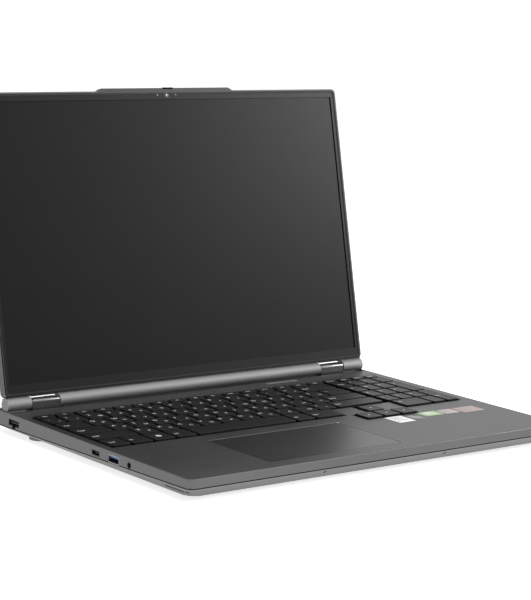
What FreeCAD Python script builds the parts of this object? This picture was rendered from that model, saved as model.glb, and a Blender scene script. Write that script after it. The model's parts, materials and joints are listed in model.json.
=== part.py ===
import FreeCAD, Part
import math
import os

from FreeCAD import Vector

# Laptop computer with an open lid, in millimetres.
# The model is drawn with x = 0 on its centre line, y = 0 at the deck's front edge and z = 0 on the table.
# At the end it moves so that its origin is the centre of the bottom of its bounding box.

# Base
base_width = 356.0
base_depth = 250.0
base_height = 14.8
foot_height = 2.8
deck_thickness = 1.4
side_wall = 1.6
floor_thickness = 1.2
deck_corner_radius = 4.0
parting_corner_radius = 6.0
bottom_corner_radius = 10.0
deck_edge_round = 0.6
parting_drop_front = 7.2
parting_drop_rear = 11.6
parting_groove_height = 0.7
parting_groove_depth = 0.7
bottom_inset_front = 9.0
bottom_inset_side = 7.0
bottom_inset_rear = 5.0
seat_clearance = 0.15
running_clearance = 0.05
cut_over = 1.0
edge_tolerance = 0.01

# Lid and its hinge
lid_lean = 12.876
lid_side_inset = 0.1
lid_thickness = 6.0
lid_shorter_than_base = 18.4
lid_corner_radius = 4.0
lid_wall = 1.1
lid_back_thickness = 1.1
hinge_axis_from_rear = 12.8
hinge_axis_above_deck = 4.2
screen_in_front_of_axis = 2.3
barrel_radius = 5.1
barrel_end_inset = 1.4
barrel_neck_front = 1.6
barrel_neck_back = 3.2
lid_gap_at_barrel = 0.1
notch_from_side = 35.3
notch_width = 25.5
notch_side_gap = 0.6
knuckle_radius = 2.4
shaft_radius = 1.5
shaft_in_barrel = 16.0
shaft_in_knuckle = 18.0
shaft_end_gap = 0.5
shaft_fit = 0.02
hinge_cover_half_depth = 4.5
hinge_cover_wall = 1.1
hinge_cover_top = 1.8
trough_front_gap = 2.6
trough_rear_gap = 3.4
trough_depth = 1.6
trough_end_wall = 1.0
bracket_leg_depth = 3.0
bracket_foot_depth = 15.0
bracket_foot_thickness = 1.2
bracket_foot_overhang = 4.0
arm_thickness = 0.9
arm_height = 52.0
arm_width = 15.0
arm_side_gap = 0.05
arm_end_gap = 0.2

# Screen
screen_side_border = 5.56
screen_end_borders = 16.18
active_above_axis = 14.45
bezel_thickness = 0.8
bezel_fit_gap = 0.15
panel_border = 1.0
panel_thickness = 2.4
bump_half_width = 67.0
bump_end_slope = 4.0
bump_rise = 2.3
camera_radius = 1.5
camera_above_active = 3.7
camera_board_width = 40.0
camera_board_height = 3.6
camera_board_thickness = 2.0
camera_board_trim = 0.2
seal_width = 0.9
seal_height = 0.4
seal_inset = 0.5

# Keyboard
key_gap = 1.8
key_rise = 1.3
key_cap_height = 2.2
key_taper = 0.45
key_corner_radius = 1.6
key_travel = 1.2
key_stem = 4.0
key_stem_length = 3.2
key_stem_clearance = 0.25
key_pitch = 18.9
keyboard_left_margin = 6.7
keyboard_right_margin = 10.5
keys_from_rear = 149.0
backspace_width = 34.2
first_key_widths = (39.0, 30.0, 24.5, 15.0)
modifier_widths = (17.8, 19.6, 19.6, 19.5, 93.0, 18.9, 28.6)
bottom_row_depth = 21.4
letter_row_depth = 19.0
function_row_depth = 10.2
function_end_gap = 0.4
function_count = 16
pad_gap = 3.6
pad_pitch = 14.8
arrow_pad_gap = 3.4
arrow_pitch = 18.0
arrow_forward = 19.3
arrow_depth = 18.6
well_margin = 0.3
plate_below_deck = 2.7
plate_thickness = 0.8
plate_rim = 2.0

# Touchpad and power button
touchpad_width = 123.1
touchpad_key_gap = 15.3
touchpad_centre_x = -37.16
touchpad_front = 13.5
touchpad_thickness = 1.4
touchpad_gap = 0.35
touchpad_corner_radius = 2.0
touchpad_sink = 0.1
pivot_radius = 0.8
pivot_drop = 1.1
pivot_length = 3.0
pivot_from_rear = 2.4
pivot_lug_half = 1.5
frame_bar_thickness = 0.8
frame_bar_drop = 4.4
frame_bar_width = 8.0
switch_size = 6.0
switch_gap = 0.7
power_from_pad = 43.8
power_width = 33.5
power_from_rear = 28.0
power_depth = 4.8
power_end_flat = 0.3
power_gap = 0.25
power_sink = 0.15
power_cap_height = 1.1
power_stem = 3.0
power_stem_length = 2.6
power_guide_thickness = 1.0
power_guide_margin = 3.0
power_guide_rear = 1.2
power_guide_room = 0.6
power_guide_overlap = 0.4

# Sockets, measured along the left side from the front edge and down from the deck
usb_a_width = 12.6
usb_a_height = 4.7
usb_a_depth = 13.0
usb_a_before_keys = 10.8
usb_a_drop = 5.6
usb_c_width = 8.5
usb_c_height = 2.7
usb_c_depth = 8.0
usb_c_behind_usb_a = 22.1
usb_c_drop = 5.4
inlet_width = 13.4
inlet_height = 3.8
inlet_depth = 10.0
inlet_from_rear = 28.2
inlet_drop = 6.3
inlet_key_width = 4.0
inlet_key_height = 2.3
audio_radius = 1.8
audio_depth = 14.0
audio_before_usb_a = 19.2
audio_drop = 5.4
audio_body = 5.8
audio_body_trim = 0.4
audio_end_wall = 1.0
video_width = 14.2
video_height = 4.7
video_depth = 11.0
video_drop = 5.2
video_before_usb_a = 22.0
right_usb_before_keys = 9.0
socket_wall = 0.4
mouth_inset = 0.2
tongue_thickness = 1.2
tongue_setback = 1.2
tongue_side_gap = 0.8
usb_a_tongue_drop = 0.4
usb_c_tongue_thickness = 0.7
inlet_tongue_thickness = 1.0
io_board_width = 15.0
io_board_thickness = 1.2
io_board_gap = 2.5
io_board_end = 1.0

# Inside
board_above_floor = 2.0
board_thickness = 1.2
board_side_gap = 60.0
board_from_rear = 158.0
board_depth = 68.0
standoff_radius = 2.4
standoff_inset = 6.0
processor_size = 36.0
processor_height = 1.6
processor_from_board_rear = 20.0
pipe_width = 9.0
pipe_height = 2.2
pipe_behind_board = 10.0
pipe_overlap = 1.0
pipe_fan_gap = 1.0
fan_size = 64.0
fan_height = 6.6
fan_plate = 0.8
fan_from_side = 60.0
fan_from_rear = 55.0
fan_spoke_half = 2.0
fan_spoke_angles = (30, 150, 270)
fan_cavity_radius = 29.5
fan_intake_radius = 21.0
fan_boss_radius = 3.0
fan_boss_height = 2.0
fan_shaft_radius = 1.0
fan_hub_radius = 11.5
fan_hub_wall = 1.4
fan_blade_radius = 27.5
fan_blade_thickness = 0.8
fan_blade_count = 21
fan_rim_gap = 0.5
fan_shaft_overlap = 0.5
fan_blade_root = 0.6
fan_blade_gap = 0.2
fins_depth = 5.0
fins_gap = 0.2
fins_width = 58.0
fin_pitch = 2.4
fin_thickness = 0.6
battery_from_side = 74.0
battery_board_gap = 8.0
battery_height = 6.4
battery_front = 22.0
battery_corner_radius = 3.0
speaker_width = 42.0
speaker_depth = 48.0
speaker_height = 5.6
speaker_from_side = 41.0
speaker_corner_radius = 4.0
speaker_front = 22.0
drive_length = 80.0
drive_width = 22.0
drive_height = 2.4
drive_from_board_left = 8.0
drive_from_board_front = 4.0
memory_length = 68.0
memory_width = 28.0
memory_height = 1.4
memory_from_board_right = 80.0
memory_from_board_front = 4.0
memory_pitch = 32.0
wireless_length = 30.0
wireless_width = 22.0
wireless_from_board_left = 18.0
wireless_from_board_front = 42.0
wireless_height = 2.0
screw_radius = 1.0
screw_head_radius = 2.1
screw_head_height = 0.9
screw_length = 5.0
screw_clearance = 0.1
post_radius = 2.6
front_screw_from_side = (68.0, 18.0)
front_screw_y = 14.0
side_screw_from_side = 13.0
side_screw_before_audio = 13.0
rear_screw_x = 45.0
rear_screw_from_rear = 26.0
hinge_screw_radius = 1.2
hinge_screw_head = 2.0
hinge_screw_head_height = 1.0
hinge_screw_spacing = 14.0

# Vents and feet
vent_slot_width = 2.0
vent_slot_length = 34.0
vent_pitch = 4.0
vent_count = 11
vent_forward = 8.0
exhaust_slot_width = 2.4
exhaust_slot_height = 4.4
exhaust_pitch = 4.0
exhaust_count = 14
exhaust_drop = 8.6
speaker_slot_count = 8
speaker_slot_pitch = 3.2
speaker_slot_length = 1.6
speaker_slot_height = 1.1
speaker_slot_first_y = 7.5
speaker_slot_drop = 10.6
mic_hole_radius = 1.0
mic_hole_x = 57.7
mic_hole_drop = 9.9
rear_foot_from_side = 8.5
rear_foot_depth = 16.0
rear_foot_from_rear = 47.0
front_foot_length = 62.0
front_foot_depth = 9.0
front_foot_from_side = 66.0
front_foot_front = 18.0
foot_end_flat = 0.5

# Levels and places that follow from the sizes above
bottom_z = foot_height
deck_z = foot_height + base_height
deck_under_z = deck_z - deck_thickness
floor_z = bottom_z + floor_thickness
half_width = base_width / 2
lid_width = base_width - 2 * lid_side_inset
lid_height = base_depth - lid_shorter_than_base
hinge_axis_y = base_depth - hinge_axis_from_rear
barrel_width = lid_width - 2 * barrel_end_inset
notch_centre_x = half_width - notch_from_side
active_width = lid_width - 2 * screen_side_border
active_height = lid_height - screen_end_borders
main_block_width = first_key_widths[-1] + 12 * key_pitch + backspace_width
layout_width = main_block_width + pad_gap + 4 * pad_pitch
key_scale = (base_width - keyboard_left_margin - keyboard_right_margin) / layout_width
keys_left = -half_width + keyboard_left_margin
keys_front = base_depth - keys_from_rear
pad_left = keys_left + (main_block_width + pad_gap) * key_scale
pad_right = half_width - keyboard_right_margin
function_pitch = (main_block_width + pad_gap - function_end_gap) / function_count
arrow_step = arrow_pitch * key_scale
arrow_left = pad_left - arrow_pad_gap * key_scale - 3 * arrow_step
arrow_right = arrow_left + 3 * arrow_step
arrow_front = keys_front - arrow_forward
touchpad_depth = keys_front - touchpad_front - touchpad_key_gap
power_left = pad_left - power_from_pad
power_front = base_depth - power_from_rear
inlet_y = base_depth - inlet_from_rear
usb_a_y = keys_front - usb_a_before_keys
usb_c_y = usb_a_y + usb_c_behind_usb_a
audio_y = usb_a_y - audio_before_usb_a
right_usb_y = keys_front - right_usb_before_keys
video_y = right_usb_y - video_before_usb_a
side_screw_y = audio_y - side_screw_before_audio
board_right = half_width - board_side_gap
board_left = -board_right
board_front = base_depth - board_from_rear
board_rear = board_front + board_depth
processor_y = board_rear - processor_from_board_rear
pipe_run_y = board_rear + pipe_behind_board
fan_centre_x = half_width - fan_from_side
fan_centre_y = base_depth - fan_from_rear
battery_half_width = half_width - battery_from_side
battery_depth = board_front - battery_front - battery_board_gap
speaker_centre_x = half_width - speaker_from_side
rear_screw_y = base_depth - rear_screw_from_rear
rear_foot_half_length = half_width - rear_foot_from_side
rear_foot_front = base_depth - rear_foot_from_rear
front_foot_centre_x = half_width - front_foot_from_side
hinge_axis_z = deck_z + hinge_axis_above_deck
trough_front = hinge_axis_y - barrel_radius - trough_front_gap
trough_rear = hinge_axis_y + barrel_radius + trough_rear_gap
trough_floor_z = deck_z - trough_depth
trough_under_z = trough_floor_z - deck_thickness
plate_top_z = deck_z - plate_below_deck
plate_under_z = plate_top_z - plate_thickness
board_z = floor_z + board_above_floor
board_top_z = board_z + board_thickness
lid_bottom = barrel_radius + lid_gap_at_barrel
lid_top = lid_bottom + lid_height
lid_front = -screen_in_front_of_axis
lid_back = lid_front + lid_thickness


def box(low, high):
    """Box between two corners."""
    size = [h - l for l, h in zip(low, high)]
    return Part.makeBox(*size, Vector(*low))


def rod(radius, length, start, direction):
    """Round rod from a start point along a direction."""
    return Part.makeCylinder(radius, length, Vector(*start), Vector(*direction))


def fuse_all(shapes):
    """One solid out of several that touch or overlap."""
    whole = shapes[0]
    if len(shapes) > 1:
        whole = whole.multiFuse(shapes[1:])
    return whole.removeSplitter()


def cut_all(shape, tools):
    """Shape with every tool taken away."""
    return shape.cut(Part.makeCompound(tools)) if tools else shape


def outline(x0, x1, y0, y1, radius, height):
    """Closed wire of a rectangle with round corners; height gives z from y."""
    diagonal = radius * (1 - math.sqrt(0.5))

    def point(x, y):
        return Vector(x, y, height(y))

    corners = [
        (point(x1 - radius, y0), point(x1 - diagonal, y0 + diagonal), point(x1, y0 + radius)),
        (point(x1, y1 - radius), point(x1 - diagonal, y1 - diagonal), point(x1 - radius, y1)),
        (point(x0 + radius, y1), point(x0 + diagonal, y1 - diagonal), point(x0, y1 - radius)),
        (point(x0, y0 + radius), point(x0 + diagonal, y0 + diagonal), point(x0 + radius, y0)),
    ]
    edges = []
    for number, corner in enumerate(corners):
        previous_end = corners[number - 1][2]
        edges.append(Part.LineSegment(previous_end, corner[0]).toShape())
        edges.append(Part.Arc(*corner).toShape())
    return Part.Wire(edges)


def level(z):
    """Height function of a flat outline."""
    return lambda y: z


def slab(x0, x1, y0, y1, z0, z1, radius):
    """Flat plate with round corners in plan."""
    wire = outline(x0, x1, y0, y1, radius, level(z0))
    return Part.Face(wire).extrude(Vector(0, 0, z1 - z0))


def tapered_slab(x0, x1, y0, y1, z0, z1, radius, taper):
    """Plate with round corners whose top is smaller all round."""
    low = outline(x0, x1, y0, y1, radius, level(z0))
    high = outline(x0 + taper, x1 - taper, y0 + taper, y1 - taper, radius, level(z1))
    return Part.makeLoft([low, high], True, True)


def polygon_prism(points, z0, z1):
    """Upright prism over a closed polygon."""
    corners = [Vector(x, y, z0) for x, y in points]
    face = Part.Face(Part.makePolygon(corners + corners[:1]))
    return face.extrude(Vector(0, 0, z1 - z0))


def mirrored(shape):
    """The same shape on the other side of the centre line."""
    return shape.mirror(Vector(0, 0, 0), Vector(1, 0, 0))


def parting_z(y):
    """Height of the joint between top case and bottom cover."""
    slope = (parting_drop_rear - parting_drop_front) / base_depth
    return deck_z - parting_drop_front - slope * y


# Keyboard layout: each key is a cell of x0, x1, y0, y1 and the caps are smaller by the gap

def key_rows():
    """Cells of every key, by the name of the node that they belong to."""
    row_y = [keys_front, keys_front + bottom_row_depth]
    for _ in range(4):
        row_y.append(row_y[-1] + letter_row_depth)
    row_y.append(row_y[-1] + function_row_depth)

    def line(row, start, widths):
        cells = []
        for width in widths:
            end = start + width * key_scale
            cells.append((start, end, row_y[row], row_y[row + 1]))
            start = end
        return cells

    def typing_line(row, count):
        first = first_key_widths[row - 1]
        rest = main_block_width - first - count * key_pitch
        return line(row, keys_left, [first] + [key_pitch] * count + [rest])

    number_line = typing_line(4, 12)
    upper_line = typing_line(3, 12)
    home_line = typing_line(2, 11)
    lower_line = typing_line(1, 10)
    modifier_line = line(0, keys_left, modifier_widths)
    function_line = line(5, keys_left, [function_pitch] * function_count)
    function_line += line(5, pad_left, [pad_pitch] * 4)

    pad = []
    for row in (1, 2, 3, 4):
        pad += line(row, pad_left, [pad_pitch] * 3)
    pad += line(0, pad_left, [2 * pad_pitch, pad_pitch])
    last_left = pad_right - pad_pitch * key_scale
    tall = [(last_left, pad_right, row_y[0], row_y[2]), (last_left, pad_right, row_y[2], row_y[4])]
    pad.append((last_left, pad_right, row_y[4], row_y[5]))

    arrow_x = [arrow_left + arrow_step * step for step in range(4)]
    arrow_rear = arrow_front + arrow_depth
    rows = {
        "function_keys": function_line,
        "number_keys": number_line[:-1],
        "backspace_key": number_line[-1:],
        "upper_letter_keys": upper_line,
        "home_letter_keys": home_line[:-1],
        "enter_key": home_line[-1:],
        "left_shift_key": lower_line[:1],
        "lower_letter_keys": lower_line[1:-1],
        "right_shift_key": lower_line[-1:],
        "modifier_keys": modifier_line[:4] + modifier_line[5:],
        "space_key": modifier_line[4:5],
        "number_pad_keys": pad + tall,
        "arrow_left_key": [(arrow_x[0], arrow_x[1], arrow_front, arrow_rear)],
        "arrow_down_key": [(arrow_x[1], arrow_x[2], arrow_front, arrow_rear)],
        "arrow_right_key": [(arrow_x[2], arrow_x[3], arrow_front, arrow_rear)],
        "arrow_up_key": [(arrow_x[1], arrow_x[2], arrow_rear, arrow_rear + arrow_depth)],
    }
    return rows, row_y


key_cells, key_row_y = key_rows()


def keyboard_well(margin):
    """Outline of the deck opening, with the step round the arrow keys."""
    left = keys_left - margin
    right = pad_right + margin
    front = keys_front - margin
    rear = key_row_y[-1] + margin
    step_left = key_cells["modifier_keys"][-1][1] + margin
    step_right = pad_left - margin
    arrows_left = arrow_left - margin
    arrows_right = arrow_right + margin
    up_left = arrow_left + arrow_step - margin
    up_right = arrow_right - arrow_step + margin
    arrows_front = arrow_front - margin
    arrows_rear = arrow_front + arrow_depth + margin
    shelf = key_row_y[1] - margin
    return [
        (left, front), (step_left, front), (step_left, shelf), (up_left, shelf),
        (up_left, arrows_rear), (arrows_left, arrows_rear), (arrows_left, arrows_front),
        (arrows_right, arrows_front), (arrows_right, arrows_rear), (up_right, arrows_rear),
        (up_right, shelf), (step_right, shelf), (step_right, front), (right, front),
        (right, rear), (left, rear),
    ]


def stem_box(cell, clearance, z0, z1):
    """Square guide stem at the middle of a key."""
    x = (cell[0] + cell[1]) / 2
    y = (cell[2] + cell[3]) / 2
    half = key_stem / 2 + clearance
    return box((x - half, y - half, z0), (x + half, y + half, z1))


def key_solid(cell):
    """Key cap with its guide stem."""
    gap = key_gap / 2
    top = deck_z + key_rise
    low = top - key_cap_height
    cap = tapered_slab(cell[0] + gap, cell[1] - gap, cell[2] + gap, cell[3] - gap,
                       low, top, key_corner_radius, key_taper)
    return cap.fuse(stem_box(cell, 0, low - key_stem_length, low))


def plate_outline(margin, z0, z1):
    """Block under the whole key field, with a tongue under the arrow keys."""
    field = box((keys_left - margin, keys_front - margin, z0),
                (pad_right + margin, key_row_y[-1] + margin, z1))
    arrows = box((arrow_left - margin, arrow_front - margin, z0),
                 (arrow_right + margin, keys_front + margin, z1))
    return field.fuse(arrows).removeSplitter()


def keyboard_plate():
    """Steel plate with a rim up to the deck and one guide hole for each key."""
    sheet = plate_outline(well_margin + plate_rim, plate_under_z, deck_under_z)
    well = plate_outline(well_margin, plate_top_z, deck_under_z)
    holes = []
    for cells in key_cells.values():
        for cell in cells:
            holes.append(stem_box(cell, key_stem_clearance, plate_under_z, plate_top_z))
    return cut_all(sheet.cut(well), holes)


# Places of the sockets in the side walls

def wall_cut(side, y, drop, width, height):
    """Opening through a side wall for a socket."""
    clear = socket_wall + seat_clearance
    x0 = side * (half_width - side_wall * 2)
    x1 = side * (half_width + cut_over)
    z = deck_z - drop
    return box((min(x0, x1), y - width / 2 - clear, z - height / 2 - clear),
               (max(x0, x1), y + width / 2 + clear, z + height / 2 + clear))


def socket(side, y, drop, width, height, depth):
    """Metal shell of a socket, with its mouth flush in the side wall and a tongue inside."""
    mouth = side * (half_width - mouth_inset)
    back = mouth - side * depth
    z = deck_z - drop
    x0, x1 = sorted((mouth, back))
    shell = box((x0, y - width / 2 - socket_wall, z - height / 2 - socket_wall),
                (x1, y + width / 2 + socket_wall, z + height / 2 + socket_wall))
    c0, c1 = sorted((mouth, back + side * socket_wall))
    hollow = box((c0, y - width / 2, z - height / 2), (c1, y + width / 2, z + height / 2))
    return shell.cut(hollow), (back, z)


def tongue(side, y, back, depth, width, z0, z1):
    """Contact tongue inside a socket, short of its mouth and clear of its sides."""
    x0, x1 = sorted((back, back + side * (depth - tongue_setback)))
    half = width / 2 - tongue_side_gap
    return box((x0, y - half, z0), (x1, y + half, z1))


def usb_a_socket(side, y):
    """Wide socket with a tongue in its upper half."""
    shell, (back, z) = socket(side, y, usb_a_drop, usb_a_width, usb_a_height, usb_a_depth)
    top = z + usb_a_height / 2 - usb_a_tongue_drop
    blade = tongue(side, y, back, usb_a_depth, usb_a_width, top - tongue_thickness, top)
    return shell.fuse(blade)


def usb_c_socket():
    """Small socket with a tongue in the middle."""
    shell, (back, z) = socket(-1, usb_c_y, usb_c_drop, usb_c_width, usb_c_height, usb_c_depth)
    half = usb_c_tongue_thickness / 2
    blade = tongue(-1, usb_c_y, back, usb_c_depth, usb_c_width, z - half, z + half)
    return shell.fuse(blade)


def power_inlet():
    """Slim power inlet with a keyway below it."""
    shell, (back, z) = socket(-1, inlet_y, inlet_drop, inlet_width, inlet_height, inlet_depth)
    low = z - inlet_height / 2
    mouth = -half_width + mouth_inset
    key_outer = box((mouth, inlet_y - inlet_key_width / 2 - socket_wall, low - inlet_key_height),
                    (back, inlet_y + inlet_key_width / 2 + socket_wall, low))
    key_hollow = box((mouth, inlet_y - inlet_key_width / 2, low - inlet_key_height + socket_wall),
                     (back - socket_wall, inlet_y + inlet_key_width / 2, low + socket_wall))
    half = inlet_tongue_thickness / 2
    blade = tongue(-1, inlet_y, back, inlet_depth, inlet_width, z - half, z + half)
    return fuse_all([shell.fuse(key_outer).cut(key_hollow), blade])


def inlet_key_cut():
    """Room in the side wall for the inlet's keyway."""
    clear = socket_wall + seat_clearance
    z = deck_z - inlet_drop - inlet_height / 2
    half = inlet_key_width / 2 + clear
    return box((-half_width - cut_over, inlet_y - half, z - inlet_key_height - seat_clearance),
               (-half_width + side_wall * 2, inlet_y + half, z))


def audio_socket():
    """Round headphone socket in a square body."""
    z = deck_z - audio_drop
    mouth = -half_width + mouth_inset
    nose = rod(audio_radius + socket_wall, side_wall * 2, (mouth, audio_y, z), (1, 0, 0))
    body = box((mouth + side_wall * 2, audio_y - audio_body / 2, z - audio_body / 2),
               (mouth + audio_depth, audio_y + audio_body / 2, z + audio_body / 2 - audio_body_trim))
    bore = rod(audio_radius, audio_depth - audio_end_wall, (mouth, audio_y, z), (1, 0, 0))
    return nose.fuse(body).cut(bore)


def audio_cut():
    """Round opening in the side wall for the headphone socket."""
    clear = audio_radius + socket_wall + seat_clearance
    start = (-half_width - cut_over, audio_y, deck_z - audio_drop)
    return rod(clear, side_wall * 2 + cut_over, start, (1, 0, 0))


def io_boards():
    """Small boards that carry the side sockets, one under each group."""
    top = deck_z - usb_a_drop - usb_a_height / 2 - socket_wall
    inner = half_width - side_wall - io_board_gap
    left = box((-inner, audio_y - audio_body, top - io_board_thickness),
               (-inner + io_board_width, usb_c_y + usb_c_width, top))
    right = box((inner - io_board_width, video_y - video_width / 2 - io_board_end, top - io_board_thickness),
                (inner, right_usb_y + usb_a_width, top))
    rear_top = deck_z - inlet_drop - inlet_height / 2 - socket_wall
    rear = box((-inner, inlet_y - inlet_width, rear_top - io_board_thickness),
               (-inner + io_board_width, inlet_y + inlet_width, rear_top))
    keyway = box((-inner - cut_over, inlet_y - inlet_key_width, rear_top - io_board_thickness),
                 (-inner + inlet_depth, inlet_y + inlet_key_width, rear_top))
    return Part.makeCompound([left, right, rear.cut(keyway)])


# Casing of the base

def screw_places():
    """Plan positions of the bottom screws."""
    places = []
    for side in (-1, 1):
        places += [(side * (half_width - inset), front_screw_y) for inset in front_screw_from_side]
        places.append((side * (half_width - side_screw_from_side), side_screw_y))
        places.append((side * rear_screw_x, rear_screw_y))
    return places


def parting_wire(inset):
    """Outline at the joint between the two halves of the base."""
    return outline(-half_width + inset, half_width - inset, inset, base_depth - inset,
                   parting_corner_radius, parting_z)


def parting_groove():
    """Shadow gap round the base, just above the joint of its two halves."""
    ring = Part.Face(parting_wire(-cut_over)).cut(Part.Face(parting_wire(parting_groove_depth)))
    return ring.extrude(Vector(0, 0, parting_groove_height))


def bottom_wire(inset, z):
    """Outline of the flat bottom."""
    return outline(-half_width + bottom_inset_side + inset, half_width - bottom_inset_side - inset,
                   bottom_inset_front + inset, base_depth - bottom_inset_rear - inset,
                   bottom_corner_radius, level(z))


def touchpad_span(margin):
    """Plan rectangle of the touchpad, grown by a margin."""
    half = touchpad_width / 2 + margin
    return (touchpad_centre_x - half, touchpad_centre_x + half,
            touchpad_front - margin, touchpad_front + touchpad_depth + margin)


def top_case():
    """Deck and side walls with every opening."""
    deck_wire = outline(-half_width, half_width, 0, base_depth, deck_corner_radius, level(deck_z))
    block = Part.makeLoft([parting_wire(0), deck_wire], True, True)
    rim = [e for e in block.Edges if min(v.Z for v in e.Vertexes) > deck_z - edge_tolerance]
    block = block.makeFillet(deck_edge_round, rim)
    inner = box((-half_width + side_wall, side_wall, bottom_z),
                (half_width - side_wall, base_depth - side_wall, deck_under_z))
    lip = box((-half_width + side_wall, trough_front - deck_thickness, trough_under_z),
              (half_width - side_wall, base_depth - side_wall, deck_under_z))
    shell = block.cut(inner.cut(lip))
    posts = []
    for x, y in screw_places():
        posts.append(rod(post_radius, deck_under_z - floor_z, (x, y, floor_z), (0, 0, 1)))
    shell = shell.multiFuse(posts)

    tools = [parting_groove(), polygon_prism(keyboard_well(well_margin), deck_under_z, deck_z)]
    pad = touchpad_span(touchpad_gap)
    tools.append(slab(*pad, deck_under_z, deck_z, touchpad_corner_radius))
    tools.append(power_slot(power_gap, deck_under_z, deck_z))
    trough_half = half_width - trough_end_wall
    tools.append(box((-trough_half, trough_front, trough_floor_z), (trough_half, trough_rear, deck_z)))
    for side in (-1, 1):
        low = (side * notch_centre_x - shaft_in_knuckle / 2 - seat_clearance,
               hinge_axis_y - bracket_leg_depth / 2 - seat_clearance, trough_under_z)
        high = (side * notch_centre_x + shaft_in_knuckle / 2 + seat_clearance,
                hinge_axis_y + bracket_leg_depth / 2 + seat_clearance, trough_floor_z)
        tools.append(box(low, high))
        tools += exhaust_slots(side)
    tools.append(wall_cut(-1, usb_a_y, usb_a_drop, usb_a_width, usb_a_height))
    tools.append(wall_cut(-1, usb_c_y, usb_c_drop, usb_c_width, usb_c_height))
    tools.append(wall_cut(-1, inlet_y, inlet_drop, inlet_width, inlet_height))
    tools.append(inlet_key_cut())
    tools.append(audio_cut())
    tools.append(wall_cut(1, right_usb_y, usb_a_drop, usb_a_width, usb_a_height))
    tools.append(wall_cut(1, video_y, video_drop, video_width, video_height))
    hole_length = screw_length - screw_head_height
    for x, y in screw_places():
        tools.append(rod(screw_radius, hole_length, (x, y, floor_z), (0, 0, 1)))
    return cut_all(shell, tools)


def exhaust_slots(side):
    """Row of upright slots in the rear wall behind one fan."""
    slots = []
    z = deck_z - exhaust_drop
    first = side * fan_centre_x - exhaust_pitch * (exhaust_count - 1) / 2
    for number in range(exhaust_count):
        x = first + number * exhaust_pitch
        slots.append(box((x - exhaust_slot_width / 2, base_depth - side_wall - cut_over, z),
                         (x + exhaust_slot_width / 2, base_depth + cut_over, z + exhaust_slot_height)))
    return slots


def bottom_cover():
    """Tray with slanted edges, vents, speaker slots, screw seats and board standoffs."""
    block = Part.makeLoft([bottom_wire(0, bottom_z), parting_wire(0)], True, True)
    hollow = Part.makeLoft([bottom_wire(side_wall, floor_z), parting_wire(side_wall)], True, True)
    shell = block.cut(hollow)
    standoffs = []
    for x in (board_left + standoff_inset, 0, board_right - standoff_inset):
        for y in (board_front + standoff_inset, board_rear - standoff_inset):
            standoffs.append(rod(standoff_radius, board_above_floor, (x, y, floor_z), (0, 0, 1)))
    shell = shell.multiFuse(standoffs)
    vent_y = fan_centre_y - vent_forward
    tools = []
    for side in (-1, 1):
        first = side * fan_centre_x - vent_pitch * (vent_count - 1) / 2
        for number in range(vent_count):
            x = first + number * vent_pitch
            tools.append(box((x - vent_slot_width / 2, vent_y - vent_slot_length / 2, bottom_z),
                             (x + vent_slot_width / 2, vent_y + vent_slot_length / 2, floor_z)))
        for number in range(speaker_slot_count):
            y = speaker_slot_first_y + number * speaker_slot_pitch
            z = deck_z - speaker_slot_drop
            outer = half_width + cut_over
            inner = half_width - bottom_inset_side - side_wall
            x0, x1 = sorted((side * outer, side * inner))
            tools.append(box((x0, y, z - speaker_slot_height / 2),
                             (x1, y + speaker_slot_length, z + speaker_slot_height / 2)))
        mic_place = (side * mic_hole_x, 0, deck_z - mic_hole_drop)
        tools.append(rod(mic_hole_radius, bottom_inset_front, mic_place, (0, 1, 0)))
    for x, y in screw_places():
        tools.append(rod(screw_radius + screw_clearance, floor_thickness, (x, y, bottom_z), (0, 0, 1)))
        head = screw_head_radius + screw_clearance
        tools.append(rod(head, screw_head_height, (x, y, bottom_z), (0, 0, 1)))
        tools.append(rod(post_radius + screw_clearance, deck_z, (x, y, floor_z), (0, 0, 1)))
    return cut_all(shell, tools)


def bottom_screws():
    """Screws that hold the bottom cover to the posts of the top case."""
    screws = []
    for x, y in screw_places():
        head = rod(screw_head_radius, screw_head_height, (x, y, bottom_z), (0, 0, 1))
        shank = rod(screw_radius, screw_length, (x, y, bottom_z), (0, 0, 1))
        screws.append(head.fuse(shank))
    return Part.makeCompound(screws)


def rear_foot():
    """Long rubber strip across the rear."""
    return slab(-rear_foot_half_length, rear_foot_half_length, rear_foot_front,
                rear_foot_front + rear_foot_depth, 0, bottom_z, rear_foot_depth / 2 - foot_end_flat)


def front_feet():
    """Two short rubber strips at the front."""
    x0 = front_foot_centre_x - front_foot_length / 2
    y1 = front_foot_front + front_foot_depth
    radius = front_foot_depth / 2 - foot_end_flat
    foot = slab(x0, x0 + front_foot_length, front_foot_front, y1, 0, bottom_z, radius)
    return Part.makeCompound([foot, mirrored(foot)])


# Hinges

def hinge_cover():
    """Open-topped cover round the right hinge knuckle, standing in the trough."""
    x0 = notch_centre_x - notch_width / 2 + notch_side_gap
    x1 = notch_centre_x + notch_width / 2 - notch_side_gap
    y0 = hinge_axis_y - hinge_cover_half_depth
    y1 = hinge_axis_y + hinge_cover_half_depth
    top = hinge_axis_z + hinge_cover_top
    block = box((x0, y0, trough_floor_z), (x1, y1, top))
    front_top = []
    for edge in block.Edges:
        if edge.BoundBox.ZMin > top - edge_tolerance and edge.BoundBox.YLength < edge_tolerance:
            front_top.append(edge)
    block = block.makeFillet(hinge_cover_wall * 0.6, front_top)
    wall = hinge_cover_wall
    hollow = box((x0 + wall, y0 + wall, trough_floor_z), (x1 - wall, y1 - wall, top))
    slot_half = shaft_radius + notch_side_gap
    shaft_slot = box((x0, hinge_axis_y - slot_half, hinge_axis_z - slot_half),
                     (x0 + wall, hinge_axis_y + slot_half, top))
    return block.cut(hollow).cut(shaft_slot)


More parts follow.
